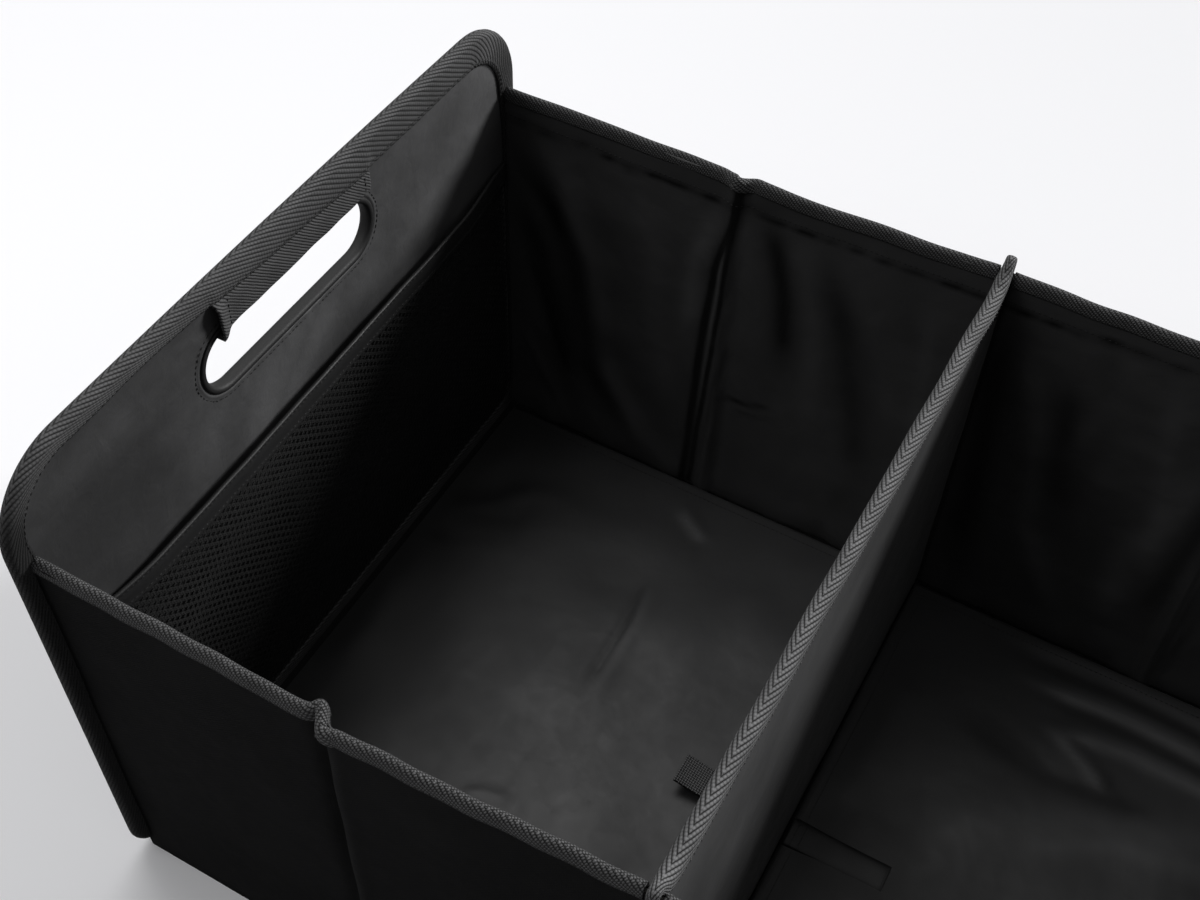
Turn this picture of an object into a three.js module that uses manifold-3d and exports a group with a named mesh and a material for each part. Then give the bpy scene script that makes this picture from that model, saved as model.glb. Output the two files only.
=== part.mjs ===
// Soft-sided trunk organizer with two bays: stiff rounded end panels with hand slots and mesh pockets,
// long walls that fold inward at the middle of each bay, a fixed divider and two hinged base boards.
// Millimetres, +Z up. Origin: middle of the underside. X runs along the length, Y across the depth.
import * as THREE from "three";
import { mergeVertices } from "three/addons/utils/BufferGeometryUtils.js";
import Module from "manifold-3d";

const wasm = await Module();
wasm.setup();

// Whole organizer
const bayLength = 298; // divider's middle to an end panel's inner face
const wallSpacing = 381; // between the middles of the two long walls
const wallHeight = 265; // underside to the crest of a wall's binding
const clearance = 0.3; // between layers that lie on each other

// Cloth, tape and boards
const clothThickness = 0.7;
const tapeThickness = 0.9;
const wallBoardThickness = 2;
const panelBoardThickness = 3;
const baseBoardThickness = 3;
const baseSkinThickness = 1;

// Long walls
const wallTapeFace = 10; // how far the binding reaches down each face
const crownShare = 0.6; // height of the binding's rounded crest, as a share of its half thickness
const backLean = 2.5; // the back wall leans in by this much at its folds
const frontStep = 4.5; // the front wall's inner boards stand out by this much at its folds
const foldPleat = 3; // the pleat stands in by this much more
const pleatWidth = 6;
const boardButtGap = 2; // between the two boards that meet at the divider

// End panels
const panelHeight = 316;
const panelOverhang = 9.5; // beyond the middle of a long wall
const panelDome = 1.5; // rise of the top edge at its middle
const panelTopRadius = 45;
const panelBottomRadius = 25;
const panelTapeFace = 14;
const tapeEdgeRound = 2.4;

// Hand slot, its trim and the wrapped grip
const slotLength = 132;
const slotHeight = 33;
const slotDrop = 48; // the panel's crest to the slot's middle
const slotShift = 8; // the slot is sewn a little off the panel's middle
const trimWall = 2.2;
const trimLip = 1.4;
const trimLipThickness = 0.8;
const gripLength = 123;
const gripThickness = 1.2;
const gripEdgeRound = 3;

// Pockets
const pocketDrop = 107; // the panel's crest to the top of the band's ends
const pocketSag = 3; // the band hangs lower at its middle
const pocketSlack = 5; // the net stands off the panel by this much at its top
const netThickness = 1.2;
const bandHeight = 14;
const bandThickness = 2.4;
const flatShare = 0.7; // share of the half width over which the pocket's front is flat

// Divider
const dividerTapeFace = 10;
const hookDrop = 13; // how far the binding's ends hang down outside the walls
const hookRise = 4.5; // how far they stand above the walls
const hookRun = 12; // length over which the binding climbs to its hook

// Base boards and pull tabs
const hingeInset = 6; // hinge line to an end panel's inner face
const swingClearance = 1; // round a base board's free edges
const boardCornerRadius = 4;
const tabWidth = 18.5;
const tabLength = 58;
const tabThickness = 2.4;
const tabShiftY = -13;
const leftTabLift = 7; // height of the tip above the board
const rightTabLift = 2;

// Thickness of a lined board, from its middle outwards
function layersOf(boardThickness) {
  const board = boardThickness / 2;
  const clothIn = board + clearance;
  const clothOut = clothIn + clothThickness;
  const tapeIn = clothOut + clearance;
  return { board, clothIn, clothOut, tapeIn, tapeOut: tapeIn + tapeThickness };
}
const wall = layersOf(wallBoardThickness);
const panel = layersOf(panelBoardThickness);
const divider = layersOf(panelBoardThickness);
const base = layersOf(baseBoardThickness);

// Places that follow from the dimensions above
const panelX = bayLength + panel.clothOut;
const wallEndX = panelX - panel.tapeOut - clearance;
const wallY = wallSpacing / 2;
const panelHalfWidth = wallY + panelOverhang;
const foldX = bayLength / 2;
const slotCentreZ = panelHeight - slotDrop;
const pocketTopZ = panelHeight - pocketDrop;
const footZ = baseSkinThickness + clearance;
const clothTopZ = wallHeight - tapeThickness - clearance;
const boardTopZ = clothTopZ - 2;
const dividerHalfY = wallY - wall.clothOut - clearance;
const basePackZ = footZ + 2 * base.clothOut;
const hingeX = bayLength - hingeInset;
const baseHalfY = wallY - wall.clothOut - backLean - foldPleat - swingClearance;
const baseFreeX = divider.clothOut + swingClearance;

const finishes = {
  cloth: { color: 0x19191b, roughness: 0.85, metalness: 0 },
  lining: { color: 0x222225, roughness: 0.7, metalness: 0 },
  tape: { color: 0x3a3a3d, roughness: 0.8, metalness: 0 },
  net: { color: 0x141416, roughness: 0.9, metalness: 0 },
  board: { color: 0x4b4843, roughness: 0.9, metalness: 0 },
};

const organizer = new THREE.Group();

function addPiece(parent, name, geometry, finish) {
  const mesh = new THREE.Mesh(geometry, new THREE.MeshStandardMaterial(finishes[finish]));
  mesh.name = name;
  parent.add(mesh);
}

// Solid operations
function toManifold(geometry) {
  const plain = geometry.clone();
  plain.deleteAttribute("normal");
  plain.deleteAttribute("uv");
  const merged = mergeVertices(plain, 1e-4);
  const vertProperties = new Float32Array(merged.attributes.position.array);
  const triVerts = new Uint32Array(merged.index.array);
  return new wasm.Manifold(new wasm.Mesh({ numProp: 3, vertProperties, triVerts }));
}

function toGeometry(manifold) {
  const mesh = manifold.getMesh();
  const geometry = new THREE.BufferGeometry();
  geometry.setAttribute("position", new THREE.BufferAttribute(mesh.vertProperties, 3));
  geometry.setIndex(new THREE.BufferAttribute(mesh.triVerts, 1));
  geometry.computeVertexNormals();
  return geometry;
}

function cut(geometry, ...tools) {
  const rest = tools.reduce((body, tool) => body.subtract(toManifold(tool)), toManifold(geometry));
  return toGeometry(rest);
}

function join(...geometries) {
  return toGeometry(geometries.map(toManifold).reduce((body, other) => body.add(other)));
}

function box(x0, x1, y0, y1, z0, z1) {
  const geometry = new THREE.BoxGeometry(x1 - x0, y1 - y0, z1 - z0);
  return geometry.translate((x0 + x1) / 2, (y0 + y1) / 2, (z0 + z1) / 2);
}

// A solid through a row of rings. Each ring has one point for each point of the flat section, which
// turns counter-clockwise about the direction of travel. A closed loop has no end caps.
function loft(rings, section, isLoop = false) {
  const size = section.length;
  const index = [];
  const spans = isLoop ? rings.length : rings.length - 1;
  for (let i = 0; i < spans; i++) {
    const here = i * size;
    const next = ((i + 1) % rings.length) * size;
    for (let j = 0; j < size; j++) {
      const k = (j + 1) % size;
      index.push(here + j, here + k, next + k, here + j, next + k, next + j);
    }
  }
  if (!isLoop) {
    const last = (rings.length - 1) * size;
    for (const [a, b, c] of THREE.ShapeUtils.triangulateShape(section, [])) {
      index.push(c, b, a, last + a, last + b, last + c);
    }
  }
  const geometry = new THREE.BufferGeometry().setFromPoints(rings.flat());
  geometry.setIndex(index);
  geometry.computeVertexNormals();
  return geometry;
}

// Unit normals to the left of a flat path, lengthened at its corners so that offsets stay parallel
function leftNormals(path, isLoop) {
  const count = path.length;
  return path.map((point, i) => {
    const before = path[isLoop ? (i + count - 1) % count : Math.max(i - 1, 0)];
    const after = path[isLoop ? (i + 1) % count : Math.min(i + 1, count - 1)];
    const inward = point.clone().sub(before).normalize();
    const outward = after.clone().sub(point).normalize();
    const tangent = inward.clone().add(outward).normalize();
    const normal = new THREE.Vector2(-tangent.y, tangent.x);
    const reference = inward.lengthSq() > 0 ? inward : outward;
    const spread = normal.dot(new THREE.Vector2(-reference.y, reference.x));
    return normal.divideScalar(Math.max(spread, 0.5));
  });
}

// Wall pieces: a section of (offset, height) carried along a path in plan
function sweepPlan(section, path) {
  const normals = leftNormals(path, false);
  const rings = path.map((point, i) =>
    section.map(({ x: offset, y: z }) => {
      const placed = normals[i].clone().multiplyScalar(offset).add(point);
      return new THREE.Vector3(placed.x, placed.y, z);
    }),
  );
  return loft(rings, section);
}

function rectangle(u0, u1, v0, v1) {
  const corners = [[u0, v0], [u1, v0], [u1, v1], [u0, v1]];
  return corners.map(([u, v]) => new THREE.Vector2(u, v));
}

function halfCircle(radius, height, segments) {
  const arc = new THREE.Path().absellipse(0, 0, radius, height, 0, Math.PI, false);
  return arc.getPoints(segments);
}

// A tape folded over an edge: two faces that hang from a rounded crest
function foldedTape(layers, crestZ, face) {
  const bend = layers.tapeOut;
  const crown = bend * crownShare;
  const outside = halfCircle(bend, crown, 6).map((p) => p.add(new THREE.Vector2(0, crestZ - crown)));
  const roofZ = crestZ - tapeThickness;
  const hemZ = crestZ - face;
  return [
    new THREE.Vector2(bend, hemZ),
    ...outside,
    new THREE.Vector2(-bend, hemZ),
    new THREE.Vector2(-layers.tapeIn, hemZ),
    new THREE.Vector2(-layers.tapeIn, roofZ),
    new THREE.Vector2(layers.tapeIn, roofZ),
    new THREE.Vector2(layers.tapeIn, hemZ),
  ];
}

// Long walls
function leanAt(x, side) {
  const beyondFold = Math.abs(x) - foldX;
  const share = 1 - Math.abs(beyondFold) / foldX;
  const stepped = THREE.MathUtils.smoothstep(-beyondFold, -pleatWidth / 2, pleatWidth);
  const straight = side > 0 ? backLean * share : -frontStep * share * stepped;
  return straight + foldPleat * Math.exp(-((beyondFold / pleatWidth) ** 2));
}

const pleatSteps = [-2.2, -1.6, -1.1, -0.7, -0.35, 0, 0.35, 0.7, 1.1, 1.6, 2.2];

function wallPath(x0, x1, side) {
  const bends = [-1, 1].flatMap((bay) => pleatSteps.map((step) => bay * foldX + step * pleatWidth));
  const stations = [x0, ...bends.filter((x) => x > x0 + 1 && x < x1 - 1), x1];
  if (x0 < -1 && x1 > 1) stations.push(0);
  stations.sort((a, b) => a - b);
  return stations.map((x) => new THREE.Vector2(x, side * (wallY - leanAt(x, side))));
}

function layerSection(side, near, far, z0, z1) {
  return side > 0 ? rectangle(near, far, z0, z1) : rectangle(-far, -near, z0, z1);
}

function addWall(name, side) {
  const cover = layerSection(side, wall.clothIn, wall.clothOut, footZ, clothTopZ);
  addPiece(organizer, `${name}_wall_cover`, sweepPlan(cover, wallPath(-wallEndX, wallEndX, side)), "cloth");

  const boardSection = rectangle(-wall.board, wall.board, footZ, boardTopZ);
  const boardFold = 2.2 * pleatWidth;
  const spans = [
    [-wallEndX, -foldX - boardFold],
    [-foldX + boardFold, -boardButtGap / 2],
    [boardButtGap / 2, foldX - boardFold],
    [foldX + boardFold, wallEndX],
  ];
  spans.forEach(([x0, x1], i) => {
    const board = sweepPlan(boardSection, wallPath(x0, x1, side));
    addPiece(organizer, `${name}_wall_board_${i + 1}`, board, "board");
  });

  const lining = layerSection(-side, wall.clothIn, wall.clothOut, footZ, clothTopZ);
  const binding = foldedTape(wall, wallHeight, wallTapeFace);
  const liningStart = divider.clothOut + clearance;
  const tapeStart = divider.tapeOut + clearance;
  for (const [bay, sign] of [["left", -1], ["right", 1]]) {
    const reach = (start) => [sign * start, sign * wallEndX].sort((a, b) => a - b);
    const liningPath = wallPath(...reach(liningStart), side);
    const tapePath = wallPath(...reach(tapeStart), side);
    addPiece(organizer, `${name}_lining_${bay}`, sweepPlan(lining, liningPath), "lining");
    addPiece(organizer, `${name}_binding_${bay}`, sweepPlan(binding, tapePath), "tape");
  }
}

addWall("front", -1);
addWall("back", 1);

// Divider, and its binding whose ends hook over the long walls
const dividerBoard = box(-divider.board, divider.board, -dividerHalfY, dividerHalfY, footZ, boardTopZ);
addPiece(organizer, "divider_board", dividerBoard, "board");
for (const [bay, sign] of [["left", -1], ["right", 1]]) {
  const [x0, x1] = [sign * divider.clothIn, sign * divider.clothOut].sort((a, b) => a - b);
  const cover = box(x0, x1, -dividerHalfY, dividerHalfY, footZ, clothTopZ);
  addPiece(organizer, `divider_cover_${bay}`, cover, "lining");
}

function addDividerBinding() {
  const outerY = wallY + wall.tapeOut;
  const gapY = wallY + wall.tapeIn;
  const innerY = dividerHalfY;
  const roofZ = wallHeight - tapeThickness;
  const hookTopZ = wallHeight + hookRise;
  const climbY = innerY - hookRun;
  const half = [
    [outerY, roofZ - hookDrop],
    [outerY, hookTopZ - tapeEdgeRound],
    [outerY - tapeEdgeRound, hookTopZ],
    [innerY, hookTopZ],
    [innerY - tapeEdgeRound, hookTopZ - hookRise / 3],
    [climbY, wallHeight],
  ];
  const under = [
    [innerY, wallHeight - dividerTapeFace],
    [innerY, roofZ],
    [gapY, roofZ],
    [gapY, roofZ - hookDrop],
  ];
  const mirrored = (points) => points.map(([y, z]) => [-y, z]).reverse();
  const outline = [...half, ...mirrored(half), ...mirrored(under), ...under];
  const shape = new THREE.Shape(outline.map(([y, z]) => new THREE.Vector2(y, z)));
  const round = divider.tapeOut / 3;
  const strip = extrudeAlongX(shape, -divider.tapeOut, divider.tapeOut);
  const channel = box(-divider.tapeIn, divider.tapeIn, -innerY - 1, innerY + 1, 0, roofZ);
  const wallSlot = (sign) => {
    const [y0, y1] = [sign * innerY, sign * gapY].sort((a, b) => a - b);
    return box(-divider.tapeOut - 1, divider.tapeOut + 1, y0, y1, 0, roofZ);
  };
  const length = 2 * outerY + 2;
  const edgeCut = (sign) => {
    const bar = new THREE.BoxGeometry(2 * round, length, 2 * round).rotateY(Math.PI / 4);
    return bar.translate(sign * (divider.tapeOut + 0.4 * round), 0, wallHeight + 0.4 * round);
  };
  const tape = cut(strip, channel, wallSlot(-1), wallSlot(1), edgeCut(-1), edgeCut(1));
  addPiece(organizer, "divider_binding", tape, "tape");
}

// Outlines of an end panel, drawn across (Y) and up (Z), then extruded along X
const acrossUp = new THREE.Matrix4().makeBasis(
  new THREE.Vector3(0, 1, 0),
  new THREE.Vector3(0, 0, 1),
  new THREE.Vector3(1, 0, 0),
);

function extrudeAlongX(shape, x0, x1, segments = 9) {
  const settings = { depth: x1 - x0, bevelEnabled: false, curveSegments: segments };
  return new THREE.ExtrudeGeometry(shape, settings).translate(0, 0, x0).applyMatrix4(acrossUp);
}

function tracePanel(path, inset) {
  const half = panelHalfWidth - inset;
  const top = panelHeight - inset - panelDome;
  const topRadius = Math.max(panelTopRadius - inset, 1);
  const bottomRadius = Math.max(panelBottomRadius - inset, 1);
  path.moveTo(-half + bottomRadius, inset);
  path.lineTo(half - bottomRadius, inset);
  path.absarc(half - bottomRadius, inset + bottomRadius, bottomRadius, -Math.PI / 2, 0, false);
  path.lineTo(half, top - topRadius);
  path.absarc(half - topRadius, top - topRadius, topRadius, 0, Math.PI / 2, false);
  path.quadraticCurveTo(0, top + 2 * panelDome, -half + topRadius, top);
  path.absarc(-half + topRadius, top - topRadius, topRadius, Math.PI / 2, Math.PI, false);
  path.lineTo(-half, inset + bottomRadius);
  path.absarc(-half + bottomRadius, inset + bottomRadius, bottomRadius, Math.PI, 1.5 * Math.PI, false);
  return path;
}

function traceSlot(path, grow) {
  const radius = slotHeight / 2 + grow;
  const run = (slotLength - slotHeight) / 2;
  path.moveTo(slotShift - run, slotCentreZ - radius);
  path.lineTo(slotShift + run, slotCentreZ - radius);
  path.absarc(slotShift + run, slotCentreZ, radius, -Math.PI / 2, Math.PI / 2, false);
  path.lineTo(slotShift - run, slotCentreZ + radius);
  path.absarc(slotShift - run, slotCentreZ, radius, Math.PI / 2, 1.5 * Math.PI, false);
  return path;
}

function panelPlate(inset, slotGrow, x0, x1) {
  const shape = tracePanel(new THREE.Shape(), inset);
  shape.holes.push(traceSlot(new THREE.Path(), slotGrow));
  return extrudeAlongX(shape, x0, x1);
}

// Tape folded round the panel's whole edge: a U section carried round the outline
function panelBinding() {
  const points = tracePanel(new THREE.Shape(), 0).getPoints(9);
  const path = points.filter((point, i) => point.distanceTo(points[(i + 1) % points.length]) > 0.01);
  const out = panel.tapeOut;
  const round = tapeEdgeRound;
  const inn = panel.tapeIn;
  const section = [
    [out, panelTapeFace],
    [out, round],
    [out - round * 0.3, round * 0.3],
    [out - round, 0],
    [-out + round, 0],
    [-out + round * 0.3, round * 0.3],
    [-out, round],
    [-out, panelTapeFace],
    [-inn, panelTapeFace],
    [-inn, tapeThickness],
    [inn, tapeThickness],
    [inn, panelTapeFace],
  ].map(([x, inset]) => new THREE.Vector2(x, inset));
  const normals = leftNormals(path, true);
  const rings = path.map((point, i) =>
    section.map(({ x, y: inset }) => {
      const placed = normals[i].clone().multiplyScalar(inset).add(point);
      return new THREE.Vector3(x, placed.x, placed.y);
    }),
  );
  return loft(rings, section, true);
}

function slotRing(grow, x0, x1) {
  const shape = traceSlot(new THREE.Shape(), grow);
  shape.holes.push(traceSlot(new THREE.Path(), 0));
  return extrudeAlongX(shape, x0, x1);
}

// Edging sewn into the slot, with a small lip on each face
function slotTrim() {
  const seat = panel.clothOut + clearance;
  const top = seat + trimLipThickness;
  const lipGrow = trimWall + trimLip;
  return join(slotRing(trimWall, -top, top), slotRing(lipGrow, seat, top), slotRing(lipGrow, -top, -seat));
}

// Height of the panel's domed top edge at a place across it
function crestAt(y) {
  const reach = panelHalfWidth - panelTopRadius;
  return panelHeight - panelDome * (y / reach) ** 2;
}

// Tape wrapped round the bar above the slot
function handleGrip() {
  const half = panel.tapeOut + clearance + gripThickness;
  const footHeight = slotCentreZ + slotHeight / 2 - clearance - gripThickness;
  const steps = 8;
  const round = gripEdgeRound;
  const corner = round * 0.3;
  const rings = [];
  let section = [];
  for (let i = 0; i <= steps; i++) {
    const y = gripLength / 2 - (gripLength * i) / steps;
    const top = crestAt(y) + clearance + gripThickness;
    section = [
      [-half + 1, footHeight],
      [half - 1, footHeight],
      [half, footHeight + 1],
      [half, top - round],
      [half - corner, top - corner],
      [half - round, top],
      [-half + round, top],
      [-half + corner, top - corner],
      [-half, top - round],
      [-half, footHeight + 1],
    ].map(([x, z]) => new THREE.Vector2(x, z));
    rings.push(section.map((p) => new THREE.Vector3(p.x, y, p.y)));
  }
  // Travel runs along -Y, about which X then Z turns counter-clockwise.
  const around = tracePanel(new THREE.Shape(), -clearance);
  around.holes.push(traceSlot(new THREE.Path(), -clearance));
  const inside = panel.tapeOut + clearance;
  return cut(loft(rings, section), extrudeAlongX(around, -inside, inside));
}

// Pockets: the net is sewn to the panel at its sides and foot, and slack towards its top
const netHalfWidth = panelHalfWidth - panelTapeFace - clearance;
const netFootZ = panelTapeFace + clearance;

function bandTop(across) {
  return pocketTopZ - pocketSag * (1 - across ** 2);
}

function standOff(across, z) {
  const side = THREE.MathUtils.smoothstep(1 - Math.abs(across), 0, 1 - flatShare);
  const netTop = pocketTopZ - bandHeight;
  const rise = THREE.MathUtils.clamp((z - netFootZ) / (netTop - netFootZ), 0, 1);
  return pocketSlack * side * rise;
}

// A sheet with a front and a back, over a grid of across (-1 to 1) and up (0 to 1)
function pocketSheet(stations, rows, thickness, heightAt) {
  const place = (across, up, proud) => {
    const z = heightAt(across, up);
    const x = -(panel.clothOut + clearance + standOff(across, z) + proud);
    return new THREE.Vector3(x, across * netHalfWidth, z);
  };
  const levels = Array.from({ length: rows + 1 }, (_, i) => i / rows);
  const rings = stations.map((across) => [
    ...levels.map((up) => place(across, up, thickness)),
    ...levels.toReversed().map((up) => place(across, up, 0)),
  ]);
  const section = rings[0].map((p) => new THREE.Vector2(p.z, p.x));
  return loft(rings, section);
}

// The binding's inner edge is round at the net's lower corners, so the net is cut off there.
const netCorner = Math.max(panelBottomRadius - panelTapeFace, 1) + clearance;
const halfStations = [1, 1 - netCorner / netHalfWidth, 0.91, 0.86, 0.8, 0.7, 0.5, 0.25];
const netStations = [...halfStations.map((t) => -t), 0, ...halfStations.toReversed()];

function pocketNet() {
  const top = (across) => bandTop(across) - bandHeight - clearance;
  const foot = (across) => netFootZ + Math.max(netCorner - (1 - Math.abs(across)) * netHalfWidth, 0);
  const heightAt = (across, up) => THREE.MathUtils.lerp(foot(across), top(across), up);
  return pocketSheet(netStations, 3, netThickness, heightAt);
}

function pocketBand() {
  const heightAt = (across, up) => bandTop(across) - bandHeight * (1 - up);
  return pocketSheet(netStations, 1, bandThickness, heightAt);
}

function addEnd(side, turn, sign) {
  const end = new THREE.Group();
  end.position.x = sign * panelX;
  end.rotation.z = turn;
  organizer.add(end);
  const inset = tapeThickness + clearance;
  const slotGrow = trimWall + clearance;
  addPiece(end, `${side}_end_board`, panelPlate(inset, slotGrow, -panel.board, panel.board), "board");
  addPiece(end, `${side}_end_outer_cover`, panelPlate(inset, slotGrow, panel.clothIn, panel.clothOut), "cloth");
  addPiece(end, `${side}_end_inner_cover`, panelPlate(inset, slotGrow, -panel.clothOut, -panel.clothIn), "lining");
  addPiece(end, `${side}_end_binding`, panelBinding(), "tape");
  addPiece(end, `${side}_slot_trim`, slotTrim(), "tape");
  addPiece(end, `${side}_handle_grip`, handleGrip(), "tape");
  addPiece(end, `${side}_pocket_net`, pocketNet(), "net");
  addPiece(end, `${side}_pocket_band`, pocketBand(), "lining");
}

addEnd("left", Math.PI, -1);
addEnd("right", 0, 1);
addDividerBinding();

// Base: the outer skin, and in each bay a board in a cloth sleeve, hinged at the end panel's foot
const skinEdge = (side) =>
  wallPath(-wallEndX, wallEndX, side).map(({ x, y }) => new THREE.Vector2(x, y + side * wall.clothOut));
const skinShape = new THREE.Shape([...skinEdge(-1), ...skinEdge(1).reverse()]);
const skin = new THREE.ExtrudeGeometry(skinShape, { depth: baseSkinThickness, bevelEnabled: false });
addPiece(organizer, "base_skin", skin, "cloth");

function roundedPlate(x0, x1, halfY, radius, z0, z1) {
  const shape = new THREE.Shape();
  shape.moveTo(x0, -halfY);
  shape.lineTo(x1 - radius, -halfY);
  shape.absarc(x1 - radius, -halfY + radius, radius, -Math.PI / 2, 0, false);
  shape.absarc(x1 - radius, halfY - radius, radius, 0, Math.PI / 2, false);
  shape.lineTo(x0, halfY);
  const settings = { depth: z1 - z0, bevelEnabled: false, curveSegments: 4 };
  return new THREE.ExtrudeGeometry(shape, settings).translate(0, 0, z0);
}

// Pull tab: webbing folded double and sewn on beside the divider, its tip lifted off the board
function pullTab(lift) {
  const seat = basePackZ + clearance;
  const tabStart = hingeX - baseFreeX - 1;
  const rise = (t) => lift * t ** 2;
  const stations = [0, 0.25, 0.5, 0.75, 0.95];
  const tip = [1, 0.5];
  const lower = stations.map((t) => [tabStart - t * tabLength, seat + rise(t)]);
  const nose = [tabStart - tip[0] * tabLength, seat + rise(1) + tip[1] * tabThickness];
  const upper = stations.toReversed().map((t) => [tabStart - t * tabLength, seat + rise(t) + tabThickness]);
  const shape = new THREE.Shape([...lower, nose, ...upper].map(([x, z]) => new THREE.Vector2(x, z)));
  const settings = { depth: tabWidth, bevelEnabled: false };
  return new THREE.ExtrudeGeometry(shape, settings).translate(0, 0, -tabWidth / 2).rotateX(Math.PI / 2);
}

// Each base is drawn from its hinge line (0) towards the divider (+X).
function addBase(side, turn, sign, tabLift) {
  const bay = new THREE.Group();
  bay.position.x = sign * hingeX;
  bay.rotation.z = turn;
  organizer.add(bay);
  const span = hingeX - baseFreeX;
  const skirt = clothThickness + clearance;
  const outer = roundedPlate(0, span, baseHalfY, boardCornerRadius, footZ, basePackZ);
  const hollow = box(-1, span - clothThickness, skirt - baseHalfY - clearance, baseHalfY - clothThickness,
    footZ + clothThickness, basePackZ - clothThickness);
  const inside = roundedPlate(clearance, span - skirt, baseHalfY - skirt, boardCornerRadius - skirt,
    footZ + skirt, basePackZ - skirt);
  addPiece(bay, `${side}_base_board`, inside, "board");
  addPiece(bay, `${side}_base_cover`, cut(outer, hollow), "lining");
  const tab = pullTab(tabLift).translate(0, Math.cos(turn) * tabShiftY, 0);
  addPiece(bay, `${side}_pull_tab`, tab, "tape");
  const strip = box(-(wallEndX - hingeX), -clearance, -baseHalfY, baseHalfY, footZ, basePackZ - clothThickness);
  addPiece(bay, `${side}_hinge_strip`, strip, "lining");
}

addBase("left", 0, -1, leftTabLift);
addBase("right", Math.PI, 1, rightTabLift);

export default organizer;
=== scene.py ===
# Trunk organizer with two bays: the cloth, tape, nets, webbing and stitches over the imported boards.
import math

import bpy
import numpy as np
from mathutils import Matrix, Vector


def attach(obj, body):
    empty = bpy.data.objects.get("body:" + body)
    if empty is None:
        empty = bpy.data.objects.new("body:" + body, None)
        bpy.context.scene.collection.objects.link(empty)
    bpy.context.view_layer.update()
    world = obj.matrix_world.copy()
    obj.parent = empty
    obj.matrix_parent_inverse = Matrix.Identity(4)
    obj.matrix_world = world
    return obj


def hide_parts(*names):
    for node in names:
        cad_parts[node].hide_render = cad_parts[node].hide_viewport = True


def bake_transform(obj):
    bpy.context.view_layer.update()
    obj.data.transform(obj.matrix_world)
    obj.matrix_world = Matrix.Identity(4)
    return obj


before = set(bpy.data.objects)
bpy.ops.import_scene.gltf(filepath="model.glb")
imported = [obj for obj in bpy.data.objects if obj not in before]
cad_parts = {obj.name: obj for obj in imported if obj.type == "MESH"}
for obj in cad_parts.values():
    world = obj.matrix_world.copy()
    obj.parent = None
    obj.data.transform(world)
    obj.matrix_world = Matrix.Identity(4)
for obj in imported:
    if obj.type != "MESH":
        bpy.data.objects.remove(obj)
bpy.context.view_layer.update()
scene = bpy.context.scene
mm = 0.001
bothSides = (("left", -1.0), ("right", 1.0))

# Millimetres, as in the part's source
case = {
    "wallY": 190.5,
    "wallHeight": 265.0,
    "wallEndX": 296.9,
    "foldX": 149.0,
    "backLean": 2.5,
    "frontStep": 4.5,
    "foldPleat": 3.0,
    "pleatWidth": 6.0,
    "panelX": 300.5,
    "panelHalfWidth": 200.0,
    "panelHeight": 316.0,
    "panelDome": 1.5,
    "topRadius": 45.0,
    "bottomRadius": 25.0,
    "slotLength": 132.0,
    "slotHeight": 33.0,
    "slotZ": 268.0,
    "slotShift": 8.0,
    "pocketTop": 209.0,
    "pocketSlack": 5.0,
    "clothTop": 263.8,
    "wallFace": 2.0,
    "linersApart": 182.5,
    "footZ": 1.3,
    "floorZ": 6.3,
    "hingeX": 292.0,
    "baseHalfY": 182.0,
    "baseFreeX": 3.5,
}


# Small tools for point grids

def smoothStep(value, low, high):
    t = np.clip((value - low) / (high - low), 0.0, 1.0)
    return t * t * (3.0 - 2.0 * t)


def softWaves(a, b, seed, longest, shortest, count=14):
    rng = np.random.default_rng(seed)
    total = np.zeros_like(a, dtype=float)
    for _ in range(count):
        length = math.exp(rng.uniform(math.log(shortest), math.log(longest)))
        turn = rng.uniform(0.0, math.pi)
        phase = rng.uniform(0.0, 2.0 * math.pi)
        total += np.sin(2.0 * math.pi * (a * math.cos(turn) + b * math.sin(turn)) / length + phase)
    return total / math.sqrt(count / 2.0)


def bell(distance, width):
    share = distance / width
    return np.exp(-(share ** 2))


def unit(vectors):
    return vectors / np.linalg.norm(vectors, axis=1)[:, None]


def runs(steps):
    # Distance run so far at each point of a line
    return np.append(0.0, np.cumsum(steps))


def flatUv(a, b):
    return np.stack([a, b], -1) * mm


def uvGrid(along, across):
    return flatUv(*np.meshgrid(along, across, indexing="ij"))


def fold(a, b, line, width, height):
    # A rounded ridge (or a valley, if height is negative) along a line of points, fading at its ends
    points = np.array(line, dtype=float)
    nearest = np.full(a.shape, 1e9)
    along = np.zeros(a.shape)
    lengths = np.linalg.norm(np.diff(points, axis=0), axis=1)
    start = 0.0
    for (pa, pb), (qa, qb), length in zip(points[:-1], points[1:], lengths):
        t = np.clip(((a - pa) * (qa - pa) + (b - pb) * (qb - pb)) / length ** 2, 0.0, 1.0)
        distance = np.hypot(a - pa - t * (qa - pa), b - pb - t * (qb - pb))
        closer = distance < nearest
        nearest = np.where(closer, distance, nearest)
        along = np.where(closer, start + t * length, along)
        start += length
    share = along / start
    fade = smoothStep(share, 0.0, 0.22) * smoothStep(1.0 - share, 0.0, 0.22)
    return height * (0.15 + 0.85 * fade) * bell(nearest, width)


def foldSum(a, b, lines, scale=1.0):
    total = np.zeros_like(a, dtype=float)
    for line, width, height in lines:
        total += fold(a, b, line, width, height * scale)
    return total


def linkObject(name, data):
    obj = bpy.data.objects.new(name, data)
    scene.collection.objects.link(obj)
    return obj


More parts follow.
